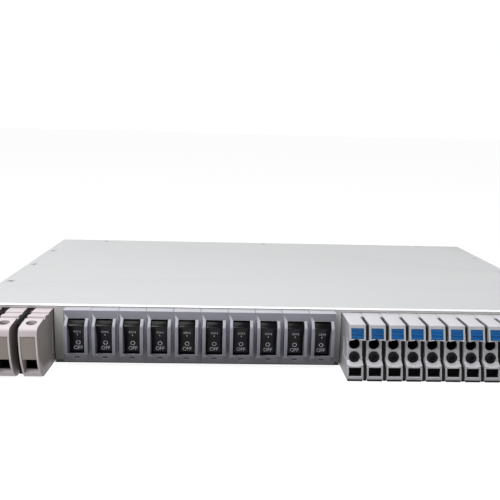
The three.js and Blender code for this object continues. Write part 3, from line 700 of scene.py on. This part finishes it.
def lettering(words, width, height, level):
    """Flat letters that lie on the rocker's face."""
    curve = bpy.data.curves.new("letters", "FONT")
    curve.body = words
    curve.align_x = "CENTER"
    curve.extrude = INK_THICKNESS
    letters = new_object("letters", curve)
    mesh = evaluated_mesh(letters)
    bpy.data.objects.remove(letters)
    corners = [vertex.co.copy() for vertex in mesh.vertices]
    low = [min(corner[axis] for corner in corners) for axis in range(3)]
    high = [max(corner[axis] for corner in corners) for axis in range(3)]
    depth, lean = face_at(level)
    fit = Matrix.Diagonal((width / (high[0] - low[0]), height / (high[1] - low[1]), 1, 1))
    centre = Matrix.Translation([-(a + b) / 2 for a, b in zip(low, high)])
    lie = Matrix.Translation((0, depth - INK_GAP, level)) @ Matrix.Rotation(lean + math.pi / 2, 4, "X")
    mesh.transform(Matrix.Scale(MM, 4) @ lie @ fit @ centre)
    return mesh


def build_legend():
    """ON and its bar, OFF and its ring, in one mesh."""
    bm = bmesh.new()
    for legend_line in LEGENDS:
        mesh = lettering(*legend_line)
        bm.from_mesh(mesh)
        bpy.data.meshes.remove(mesh)
    made = bpy.data.meshes.new("legend")
    bm.to_mesh(made)
    bm.free()
    return new_object("legend", made)


def build_studs():
    """The line and load studs behind the case, in one mesh."""
    root, end = CASE_BACK - STUD_ROOT, CASE_BACK + STUD_LENGTH
    tip_radius, chamfer = STUD_TIP
    stud = [(0, root), (STUD_RADIUS, root), (STUD_RADIUS, end - chamfer), (tip_radius, end), (0, end)]
    lower, upper = [lathe("y", (0, rise), stud, "studs") for rise in (-STUD_RISE, STUD_RISE)]
    return soften(join(lower, upper), 0.1, segments=1, angle=40)


def place_breakers():
    case, rocker, legend, studs = build_breaker_case(), build_rocker(), build_legend(), build_studs()
    for index, (case_node, rocker_node) in enumerate(zip(BREAKERS, ROCKERS)):
        at = pivots[rocker_node]
        number = f"{index + 1:02d}"
        piece(copy_of(case, at), f"breaker_body_{number}", bezel_plastic,
              stands_for=[case_node])
        piece(copy_of(studs, at), f"breaker_studs_{number}", brass)
        paddle = copy_of(rocker, at)
        paddle.rotation_euler.x = ROCKER_TILT
        piece(paddle, f"rocker_paddle_{number}", rocker_plastic, rocker_node, [rocker_node])
        ink = copy_of(legend, at)
        ink.rotation_euler.x = ROCKER_TILT
        piece(ink, f"rocker_legend_{number}", print_ink, rocker_node)
    discard(case, rocker, legend, studs)


# ---------------------------------------------------------------- terminals
rail_low, rail_high = cad("output_rail")
RAIL_FRONT = rail_low.y - EDGE_Y
RAIL_BACK = rail_high.y - EDGE_Y
FLOOR_TOP = rail_low.z
BRIM_TOP = rail_high.z
SHADOW_PAD_TOP = 1.3  # height of the black strip of painted shadow under the front of a terminal
TRAY_GAP = 0.3  # between a terminal and the tray's front edge or its rail, and at a shadow pad's sides
HOOK_HEIGHT = 1.4
HOOK_REACH = 3.4
REAR_CORNER = 6.0  # the slope at a terminal's lower rear corner, and its rounded upper one
PANEL_DEPTH = 0.25  # of the hollow in a terminal's side
SHADOW_PAD_LOW = 0.1
SHADOW_PAD_BACK = -0.5
WIRE_BORE_Z = 24.0
WIRE_BORE_DEPTH = 8.0
CABLE_BORE_RADIUS = 4.0
WIRE_BORE_RADIUS = 2.3


def rail_foot(rear):
    """The underside of a terminal behind the panel, with a hook under each side of its rail."""
    front, back = RAIL_FRONT - TRAY_GAP, RAIL_BACK + TRAY_GAP
    hook, roof = BRIM_TOP - HOOK_HEIGHT, BRIM_TOP + TRAY_GAP
    return [(front + HOOK_REACH, FLOOR_TOP), (front + HOOK_REACH, hook), (front, hook), (front, roof),
            (back, roof), (back, hook), (back - HOOK_REACH, hook), (back - HOOK_REACH, FLOOR_TOP),
            (rear - REAR_CORNER, FLOOR_TOP), (rear, FLOOR_TOP + REAR_CORNER)]


def housing(outline, narrow, wide, root, name):
    """A terminal body: one side outline, narrow ahead of its root and wide behind it."""
    body = prism(outline, "x", *narrow, name)
    broad = prism(outline, "x", *wide)
    ahead = block((wide[0] - 1, -60, -5), (wide[1] + 1, root, 60))
    return join(body, cut(broad, ahead))


def place_terminals(nodes, side, *kinds):
    """A copy of every kind of piece at each terminal, set out from its left (0) or right (1) side."""
    for index, node in enumerate(nodes):
        at = (cad(node)[side].x, EDGE_Y, 0)
        for master, stem, material, slot, replaced in kinds:
            stands_for = [replaced[index]] if replaced else ()
            piece(copy_of(master, at), f"{stem}_{index + 1:02d}", material, stands_for=stands_for)
    discard(*[kind[0] for kind in kinds])


input_low, input_high = cad(INPUTS[0])
INPUT_TOP = input_high.z
INPUT_WIDTH = 12.0
INPUT_ROOT_WIDTH = input_high.x - input_low.x
INPUT_MIDDLE = -INPUT_WIDTH / 2
INPUT_FOOT = (-30.5, 1.5)
INPUT_BULGE = (-39.8, 12.5)
INPUT_HEAD = (-39.5, 32.5)
INPUT_SCREW_Y = -29.7
ENTRY_TOP = 15.6
POCKET_HALF = 4.9
POCKET_LOW = 15.2
POCKET_DEPTH = 0.9
INPUT_FOOT_FRONT = -26.5
INPUT_DIVIDER = ((-INPUT_WIDTH - 4.4, INPUT_FOOT_FRONT, 1.5), (-INPUT_WIDTH - 0.05, SHADOW_PAD_BACK, 36.5))
INPUT_GROOVE = [(-18.6, 0), (-19.3, 1.6), (-21.5, 1.6), (-22.5, 0.3)]  # depth, and drop from the top
INPUT_BROW = [(-36.8, 2), (-38.8, 3.7)]  # the same, above the curved face
INPUT_ROOT_Y = 3.5  # where the housing widens
INPUT_PANEL = fillet([(-35.5, 31), (-34.5, 16), (-29, 8), (-3, 8), (-3, 34.5), (-33, 34.5)],
                     [2, 8, 2, 1, 1, 2])
AHEAD_Y = -45.0  # ahead of every input terminal
ENTRY_HALF = 4.8
ENTRY_SILL = [(-33.5, 4.4), (-28, 6.4)]
ENTRY_BACK = -12.0
HEAD_HOLE_RADIUS = 3.5
HEAD_HOLE_LOW = 22.0
SHANK_HOLE_RADIUS = 2.4
LINER_GAP = 0.1
SLEEVE = (26.6, 36.6)  # lowest and highest point of the lining in the head hole
SLEEVE_BORE_RADIUS = 3.0
DRIVER_SLOT_LOW = 25.1
DRIVER_SLOT_HALF = 0.5


def input_face(start=0.0, stop=1.0, steps=14):
    """Points down the curved front face, from share start to share stop of its length."""
    head, bulge, foot = Vector(INPUT_HEAD), Vector(INPUT_BULGE), Vector(INPUT_FOOT)
    shares = [start + (stop - start) * step / steps for step in range(steps + 1)]
    return [tuple(head * (1 - t) ** 2 + bulge * 2 * t * (1 - t) + foot * t ** 2) for t in shares]


def face_share(z):
    """How far down the curved front face a height is."""
    head, bulge, foot = INPUT_HEAD[1], INPUT_BULGE[1], INPUT_FOOT[1]
    a, b, c = head - 2 * bulge + foot, 2 * (bulge - head), head - z
    return (-b - math.sqrt(b * b - 4 * a * c)) / (2 * a)


def build_input_terminal():
    """A screw-clamp terminal, drawn from its right face at x = 0."""
    rear = input_high.y - EDGE_Y
    foot = rail_foot(rear)
    face = input_face()[1:]
    crown = [(y, INPUT_TOP - drop) for y, drop in INPUT_GROOVE + INPUT_BROW]
    points = [(INPUT_FOOT_FRONT, SHADOW_PAD_TOP), (-TRAY_GAP, SHADOW_PAD_TOP), (-TRAY_GAP, FLOOR_TOP), *foot,
              (rear, INPUT_TOP - REAR_CORNER), (rear - REAR_CORNER, INPUT_TOP), *crown, INPUT_HEAD, *face]
    radii = [1.0, 0, 0, *[0] * len(foot), 2, 2, 0.5, 0.2, 0.2, 0.4, 3, 3.5, 0.7, *[0] * len(face)]
    narrow, wide = (-INPUT_WIDTH, 0), (-INPUT_ROOT_WIDTH, 0)
    body = housing(fillet(points, radii), narrow, wide, INPUT_ROOT_Y, "input_terminal")
    soften(body, 0.6, segments=3, angle=50)
    sill, floor = ENTRY_SILL[0][1], ENTRY_SILL[1][1]
    entry = [(AHEAD_Y, sill), *ENTRY_SILL, (ENTRY_BACK, floor), (ENTRY_BACK, ENTRY_TOP), (AHEAD_Y, ENTRY_TOP)]
    back = [(y + POCKET_DEPTH, z) for y, z in input_face(0.01, face_share(POCKET_LOW))]
    pocket = [(AHEAD_Y, back[0][1]), *back, (AHEAD_Y, back[-1][1])]
    channel = [(-14.5, INPUT_TOP - 0.7), (-9.5, INPUT_TOP - 0.7), (-8.9, INPUT_TOP + 1),
               (-15.1, INPUT_TOP + 1)]
    screw_at = (INPUT_MIDDLE, INPUT_SCREW_Y)
    bore_at = (-INPUT_ROOT_WIDTH / 2, WIRE_BORE_Z)
    cut(
        body,
        cylinder("z", screw_at, HEAD_HOLE_LOW, 50, HEAD_HOLE_RADIUS),
        cylinder("z", screw_at, 15, HEAD_HOLE_LOW + 1, SHANK_HOLE_RADIUS),
        prism(entry, "x", INPUT_MIDDLE - ENTRY_HALF, INPUT_MIDDLE + ENTRY_HALF),
        prism(pocket, "x", INPUT_MIDDLE - POCKET_HALF, INPUT_MIDDLE + POCKET_HALF),
        prism(INPUT_PANEL, "x", -PANEL_DEPTH, 1),
        prism(INPUT_PANEL, "x", -INPUT_WIDTH - 1, -INPUT_WIDTH + PANEL_DEPTH),
        prism(channel, "x", -INPUT_WIDTH - 1, 1),
        cylinder("y", bore_at, rear - WIRE_BORE_DEPTH, rear + 1, CABLE_BORE_RADIUS),
    )
    return soften(body, 0.12, segments=2, angle=45)


def foot_pad(low_x, high_x, front):
    """A black strip under a terminal, ahead of the tray, that stands in for the shadow there."""
    low, high = (low_x + TRAY_GAP, front, SHADOW_PAD_LOW), (high_x - TRAY_GAP, SHADOW_PAD_BACK, SHADOW_PAD_TOP - 0.05)
    shade_pad = block(low, high, "foot_pad")
    return soften(shade_pad, 0.1, segments=1)


def build_input_label():
    """The blank curved label plate in the terminal's front pocket; its warm colour carries painted shade."""
    face = input_face(0.02, face_share(ENTRY_TOP + 0.2))
    outline = [(y + 0.3, z) for y, z in face] + [(y + 0.85, z) for y, z in reversed(face)]
    half = POCKET_HALF - 0.15
    plate = prism(outline, "x", INPUT_MIDDLE - half, INPUT_MIDDLE + half, "input_label")
    return soften(plate, 0.1, segments=2, angle=40)


def liner(low, high, wall, name):
    """A box-shaped lining, open to the front."""
    shell = block(low, high, name)
    inner_low = (low[0] + wall, low[1] - 1, low[2] + wall)
    inner_high = (high[0] - wall, high[1] - wall, high[2] - wall)
    return cut(shell, block(inner_low, inner_high))


def build_input_liner():
    """The dark linings of the wire entry and the head hole, the black strip of painted shadow under the
    terminal, and the divider on the left.
    """
    half, floor = ENTRY_HALF - LINER_GAP, ENTRY_SILL[1][1] + LINER_GAP
    low = (INPUT_MIDDLE - half, -29, floor)
    high = (INPUT_MIDDLE + half, ENTRY_BACK - LINER_GAP, ENTRY_TOP - LINER_GAP)
    lining = liner(low, high, 0.5, "input_liner")
    at = (INPUT_MIDDLE, INPUT_SCREW_Y)
    sleeve = cut(
        cylinder("z", at, *SLEEVE, HEAD_HOLE_RADIUS - 0.08),
        cylinder("z", at, 26, 38, SLEEVE_BORE_RADIUS),
    )
    shade_pad = foot_pad(-INPUT_WIDTH, 0, -26.2)
    divider = soften(block(*INPUT_DIVIDER, "divider"), 0.4)
    return join(soften(lining, 0.1, segments=1), sleeve, shade_pad, divider)


def build_clamp_screw():
    """A cheese-head screw with a driver slot."""
    profile = [(0, 15.9), (2, 15.9), (2, 22.3), (3.1, 22.3), (3.1, 26.0), (2.8, 26.3), (0, 26.3)]
    screw = lathe("z", (INPUT_MIDDLE, INPUT_SCREW_Y), profile, name="clamp_screw")
    low = (INPUT_MIDDLE - 4, INPUT_SCREW_Y - DRIVER_SLOT_HALF, DRIVER_SLOT_LOW)
    high = (INPUT_MIDDLE + 4, INPUT_SCREW_Y + DRIVER_SLOT_HALF, 27)
    return soften(cut(screw, block(low, high)), 0.1, segments=2, angle=40)


def place_inputs():
    place_terminals(
        INPUTS, 1,
        (build_input_terminal(), "input_housing", input_plastic, "input_plastic", INPUTS),
        (build_input_label(), "input_label", shaded_label_plastic, "input_plastic", None),
        (build_input_liner(), "input_liner", black_plastic, "insert_black", None),
        (build_clamp_screw(), "clamp_screw", zinc, "zinc_steel", INPUT_SCREWS),
    )


output_low, output_high = cad(OUTPUTS[0])
OUTPUT_TOP = output_high.z
OUTPUT_WIDTH = 11.0
OUTPUT_ROOT_WIDTH = output_high.x - output_low.x
OUTPUT_MIDDLE = OUTPUT_WIDTH / 2
HOOD_TOP_Y = -27.7
HOOD_FRONT_Y = -31.0
HOOD_UNDER = 29.4
DRIVER_HOLE_Z = 23.8
TEST_HOLE_Z = 15.2
TEST_FACE_Y = -24.2
TEST_FACE_LOW = 11.3
TEST_HOLE_DEPTH = 3.6
DRIVER_HOLE_BACK = -4.6
HOLE_RADIUS = 3.9
RECESS = (-20.6, 28.0)  # the recess under the hood, at its deepest
OUTPUT_FOOT_FRONT = -30.4
OUTPUT_BROW_FRONT = -28.3
OUTPUT_ROOT_Y = -9.0
OUTPUT_ENTRY = (3.1, 9.3)
OUTPUT_ENTRY_HALF = 4.4
OUTPUT_ENTRY_BACK = -14.0
OUTPUT_PANEL = fillet([(-22, 26), (-23.6, 13), (-11, 13), (-11, 26)], [1.5, 1, 1, 1])
ARCH_RADIUS = 13.0
ARCH_RISE = 0.8
ARCH_BACK = -21.6
FOOT_GROOVES = (1.75, 2.45)
FOOT_GROOVE_HEIGHT = 0.3
FOOT_GROOVE_BACK = -29.7
INSERT_GAP = 0.06
SOCKET_RADIUS = 2.1
CAGE_BARS = (4.6, 6.0, 7.4)
SPACER_BACK = -9.4
SPACER_DROP = 1.2
MARKER_LOW = 30.1
MARKER_HIGH = 37.4
MARKER_HALF = 4.35
MARKER_DEPTH = 1.2
MARKER_RIBS = 3
RIB_PROFILE = ((0.0, 0.7), (0.28, 0.7), (0.4, 0.05), (0.85, 0.05), (1.0, 0.7))  # share of a rib, and depth
LIP_FRONT = -29.4
LIP_BOW = 12.0  # radius of the lip's front edge, seen from above
LIP_OUTLINE = [(-20.6, 13.6), (-24.2, 13.0), (LIP_FRONT, 10.5), (LIP_FRONT, 9.75), (-27.5, 9.6), (-20.6, 9.6)]


def hood_face_y(z):
    """Depth of the hood's sloping front at a height."""
    share = (z - HOOD_UNDER) / (OUTPUT_TOP - HOOD_UNDER)
    return HOOD_FRONT_Y + share * (HOOD_TOP_Y - HOOD_FRONT_Y)


def build_output_terminal():
    """A spring-clamp terminal, drawn from its left face at x = 0."""
    rear = output_high.y - EDGE_Y
    foot = rail_foot(rear)
    points = [(OUTPUT_FOOT_FRONT, SHADOW_PAD_TOP), (-TRAY_GAP, SHADOW_PAD_TOP), (-TRAY_GAP, FLOOR_TOP), *foot,
              (rear, OUTPUT_TOP - REAR_CORNER), (rear - REAR_CORNER, OUTPUT_TOP), (HOOD_TOP_Y, OUTPUT_TOP),
              (HOOD_FRONT_Y, HOOD_UNDER), RECESS, (TEST_FACE_Y, TEST_FACE_LOW),
              (OUTPUT_BROW_FRONT, OUTPUT_ENTRY[1])]
    radii = [0.8, 0, 0, *[0] * len(foot), 2, 2, 0.7, 0.5, 1.2, 0.6, 0.3]
    narrow, wide = (0, OUTPUT_WIDTH), (0, OUTPUT_ROOT_WIDTH)
    body = housing(fillet(points, radii), narrow, wide, OUTPUT_ROOT_Y, "output_terminal")
    ahead = HOOD_FRONT_Y - 1
    lip = prism(LIP_OUTLINE, "x", 0.02, OUTPUT_WIDTH - 0.02)
    bow = cylinder("z", (OUTPUT_MIDDLE, LIP_FRONT + LIP_BOW), 0, 20, LIP_BOW, sides=128)
    join(body, merge(lip, [bow], "INTERSECT"))
    arch_at = (OUTPUT_MIDDLE, HOOD_UNDER + ARCH_RISE - ARCH_RADIUS)
    arch = cylinder("y", arch_at, ahead, ARCH_BACK, ARCH_RADIUS, sides=96)
    under_hood = block((-0.1, ahead, HOOD_UNDER - 1), (OUTPUT_WIDTH + 0.1, ARCH_BACK, 40))
    cut(body, merge(arch, [under_hood], "INTERSECT"))
    soften(body, 0.35, segments=2, angle=50)
    pocket = [(ahead, MARKER_LOW), (hood_face_y(MARKER_LOW) + MARKER_DEPTH, MARKER_LOW),
              (hood_face_y(MARKER_HIGH) + MARKER_DEPTH, MARKER_HIGH), (ahead, MARKER_HIGH)]
    grooves = [
        block((-1, -40, level), (OUTPUT_WIDTH + 1, FOOT_GROOVE_BACK, level + FOOT_GROOVE_HEIGHT))
        for level in FOOT_GROOVES
    ]
    bore_at = (OUTPUT_ROOT_WIDTH / 2, WIRE_BORE_Z)
    cut(
        body,
        cylinder("y", (OUTPUT_MIDDLE, DRIVER_HOLE_Z), ahead, DRIVER_HOLE_BACK, HOLE_RADIUS),
        cylinder("y", (OUTPUT_MIDDLE, TEST_HOLE_Z), ahead, TEST_FACE_Y + TEST_HOLE_DEPTH, HOLE_RADIUS),
        block((OUTPUT_MIDDLE - OUTPUT_ENTRY_HALF, ahead, OUTPUT_ENTRY[0]),
              (OUTPUT_MIDDLE + OUTPUT_ENTRY_HALF, OUTPUT_ENTRY_BACK, OUTPUT_ENTRY[1])),
        prism(pocket, "x", OUTPUT_MIDDLE - MARKER_HALF, OUTPUT_MIDDLE + MARKER_HALF),
        prism(OUTPUT_PANEL, "x", -1, PANEL_DEPTH),
        prism(OUTPUT_PANEL, "x", OUTPUT_WIDTH - PANEL_DEPTH, OUTPUT_WIDTH + 1),
        cylinder("y", bore_at, rear - WIRE_BORE_DEPTH, rear + 1, WIRE_BORE_RADIUS),
        *grooves,
    )
    return soften(body, 0.12, segments=2, angle=45)


def build_marker():
    """The ribbed blue marker in the hood's pocket."""
    half = MARKER_HALF - 0.1
    low, high = MARKER_LOW + 0.1, MARKER_HIGH - 0.1
    step = (high - low) / MARKER_RIBS
    front = []
    for rib in range(MARKER_RIBS):
        base = low + rib * step
        for share, out in RIB_PROFILE:
            level = base + share * step
            front.append((hood_face_y(level) + out, level))
    back = MARKER_DEPTH - 0.1
    outline = [*front, (hood_face_y(high) + back, high), (hood_face_y(low) + back, low)]
    distinct = list(dict.fromkeys(outline))
    plate = prism(distinct, "x", OUTPUT_MIDDLE - half, OUTPUT_MIDDLE + half, "marker")
    return soften(plate, 0.1, segments=2, angle=30)


def build_output_insert():
    """The dark clamp parts seen in the two round holes and the wire entry, and the black strip of painted
    shadow under the terminal.
    """
    at = (OUTPUT_MIDDLE, DRIVER_HOLE_Z)
    sleeve = cut(
        cylinder("y", at, RECESS[0], DRIVER_HOLE_BACK - 0.1, HOLE_RADIUS - INSERT_GAP, name="insert"),
        cylinder("y", at, -22, -6.0, HOLE_RADIUS - 0.4),
    )
    test = (OUTPUT_MIDDLE, TEST_HOLE_Z)
    socket_back = TEST_FACE_Y + TEST_HOLE_DEPTH - 0.1
    socket = cylinder("y", test, TEST_FACE_Y + 0.5, socket_back, HOLE_RADIUS - INSERT_GAP)
    cut(socket, cylinder("y", test, TEST_FACE_Y, TEST_FACE_Y + 2.4, SOCKET_RADIUS))
    half = OUTPUT_ENTRY_HALF - INSERT_GAP
    left, right = OUTPUT_MIDDLE - half, OUTPUT_MIDDLE + half
    low, high = OUTPUT_ENTRY[0] + INSERT_GAP, OUTPUT_ENTRY[1] - INSERT_GAP
    cage = liner((left, -28.2, low), (right, OUTPUT_ENTRY_BACK - 0.1, high), 0.35, "cage")
    bars = [block((left + 0.3, -25.5, level), (right - 0.3, -24.5, level + 0.5)) for level in CAGE_BARS]
    shade_pad = foot_pad(0, OUTPUT_WIDTH, -30.0)
    return soften(join(sleeve, socket, cage, *bars, shade_pad), 0.08, segments=1, angle=40)


def build_spacer():
    """The black divider plate in the gap beside an output terminal, set back behind the housings."""
    top = OUTPUT_TOP - SPACER_DROP
    outline = fillet(
        [(SPACER_BACK, 4), (SPACER_BACK, top), (-26.6, top), (-28.9, HOOD_UNDER - 0.6), (-19.2, 27.4),
         (-22.6, 12), (-28.0, 9), (-30.0, SHADOW_PAD_LOW), (SPACER_BACK, SHADOW_PAD_LOW)],
        [0, 0, 1, 1, 1, 1, 1, 1, 0],
    )
    low, high = OUTPUT_WIDTH + 0.35, OUTPUT_ROOT_WIDTH - 0.05
    return soften(prism(outline, "x", low, high, "spacer"), 0.2, segments=2)


def place_outputs():
    place_terminals(
        OUTPUTS, 0,
        (build_output_terminal(), "output_housing", output_plastic, "output_plastic", OUTPUTS),
        (build_marker(), "output_marker", marker_plastic, "marker_blue", None),
        (build_output_insert(), "output_insert", black_plastic, "insert_black", None),
        (build_spacer(), "output_spacer", black_plastic, "insert_black", None),
    )


def build_shadow_strip():
    """A black strip along the tray's front edge, under the breakers, that stands in for the shadow there."""
    low = cad(BREAKERS[0])[0].x - 8
    high = cad(BREAKERS[-1])[1].x + 5
    strip = block((low, EDGE_Y - 0.3, 0.1), (high, EDGE_Y + 0.25, 1.45), "gasket")
    piece(soften(strip, 0.15), "front_gasket", black_plastic)


# ---------------------------------------------------------------- CAD nodes that are shown as they are
def carry_over(node, material, width=0.0, smooth=0):
    """Bevels a CAD node's edges to a width, or smooths it all over a number of times, and paints it."""
    thing = frame["nodes"][node]
    weld = thing.modifiers.new("weld", "WELD")
    weld.merge_threshold = 0.01 * MM
    if smooth:
        rounder = thing.modifiers.new("round", "SUBSURF")
        rounder.levels = smooth
        rounder.render_levels = smooth
    else:
        bevel = thing.modifiers.new("bevel", "BEVEL")
        bevel.width = width * MM
        bevel.segments = 2
        bevel.limit_method = "ANGLE"
        bevel.angle_limit = math.radians(40)
        bevel.harden_normals = True
    thing.data.materials.clear()
    thing.data.materials.append(material)


def carry_nodes():
    for node in ("chassis_tray", "rack_ear_left", "rack_ear_right"):
        carry_over(node, paint, 0.25)
    carry_over("front_panel", shaded_panel_paint, 0.2)
    for node in ("input_rail", "output_rail"):
        carry_over(node, zinc, 0.15)
    carry_over("output_end_bracket", output_plastic, 0.5)
    carry_over("line_busbar", copper, 0.2)
    carry_over("earth_stud", brass, 0.2)
    for node in numbered("output_wire", 10):
        carry_over(node, red_wire, smooth=1)
    for node in numbered("feed_cable", 2):
        carry_over(node, black_wire, smooth=1)
    carry_over("earth_cable", green_wire, smooth=1)


# ---------------------------------------------------------------- camera, floor and light
CAMERA_PLACE = (-43.7, -543.15, 166.5)
CAMERA_PITCH = math.radians(10.75)
CAMERA_YAW = math.radians(2.41)
CAMERA_ROLL = math.radians(-1.5)
CAMERA_LENS = 45.396
CAMERA_SENSOR = 36.0


def build_camera():
    data = bpy.data.cameras.new("camera")
    data.lens = CAMERA_LENS
    data.sensor_width = CAMERA_SENSOR
    data.sensor_fit = "HORIZONTAL"
    data.clip_start = 0.01
    data.clip_end = 50
    camera = new_object("camera", data)
    turn = (
        Matrix.Rotation(-CAMERA_YAW, 4, "Z")
        @ Matrix.Rotation(math.pi / 2 - CAMERA_PITCH, 4, "X")
        @ Matrix.Rotation(-CAMERA_ROLL, 4, "Z")
    )
    camera.matrix_world = Matrix.Translation(Vector(CAMERA_PLACE) * MM) @ turn
    bpy.context.scene.camera = camera


def build_floor():
    """A pale floor that glows just enough to stay white in the studio light."""
    half = 30000.0
    floor = block((-half, -half, -60.0), (half, half, -0.05), "floor")
    made = bpy.data.materials.new("floor")
    made.use_nodes = True
    shader = made.node_tree.nodes["Principled BSDF"]
    shader.inputs["Base Color"].default_value = (0.12, 0.12, 0.12, 1)
    shader.inputs["Roughness"].default_value = 0.9
    shader.inputs["Specular IOR Level"].default_value = 0.0
    shader.inputs["Emission Color"].default_value = (1, 1, 1, 1)
    shader.inputs["Emission Strength"].default_value = 0.93
    floor.data.materials.append(made)


def area_light(name, place, target, size, power):
    """A flat light that faces its target. Its place and size are in metres."""
    data = bpy.data.lights.new(name, "AREA")
    data.shape = "RECTANGLE"
    data.size, data.size_y = size
    data.energy = power
    light = new_object(name, data)
    light.location = place
    light.rotation_euler = (Vector(target) - Vector(place)).to_track_quat("-Z", "Y").to_euler()


def build_world():
    """White behind the object, dim elsewhere."""
    world = bpy.data.worlds.new("studio")
    world.use_nodes = True
    nodes = world.node_tree.nodes
    links = world.node_tree.links
    background = nodes["Background"]
    direction = nodes.new("ShaderNodeTexCoord")
    parts = nodes.new("ShaderNodeSeparateXYZ")
    ramp = nodes.new("ShaderNodeMapRange")
    ramp.interpolation_type = "SMOOTHSTEP"
    ramp.inputs["From Min"].default_value = 0.45
    ramp.inputs["From Max"].default_value = 0.85
    ramp.inputs["To Min"].default_value = 0.3
    ramp.inputs["To Max"].default_value = 1.02
    links.new(direction.outputs["Generated"], parts.inputs[0])
    links.new(parts.outputs["Y"], ramp.inputs["Value"])
    links.new(ramp.outputs[0], background.inputs["Strength"])
    background.inputs["Color"].default_value = (1, 1, 1, 1)
    bpy.context.scene.world = world


build_cover()
place_cover_screws()
place_ear_screws()
place_breakers()
place_inputs()
place_outputs()
build_shadow_strip()
carry_nodes()
build_camera()
build_floor()
build_world()
area_light("overhead", (-0.4, -0.2, 1.45), (0.0, 0.0, 0.0), (1.0, 0.6), 9.0)
area_light("key", (-0.45, -1.05, 1.15), (0.0, -0.1, 0.0), (1.0, 0.1), 15.0)
bpy.context.scene.view_settings.view_transform = "Standard"
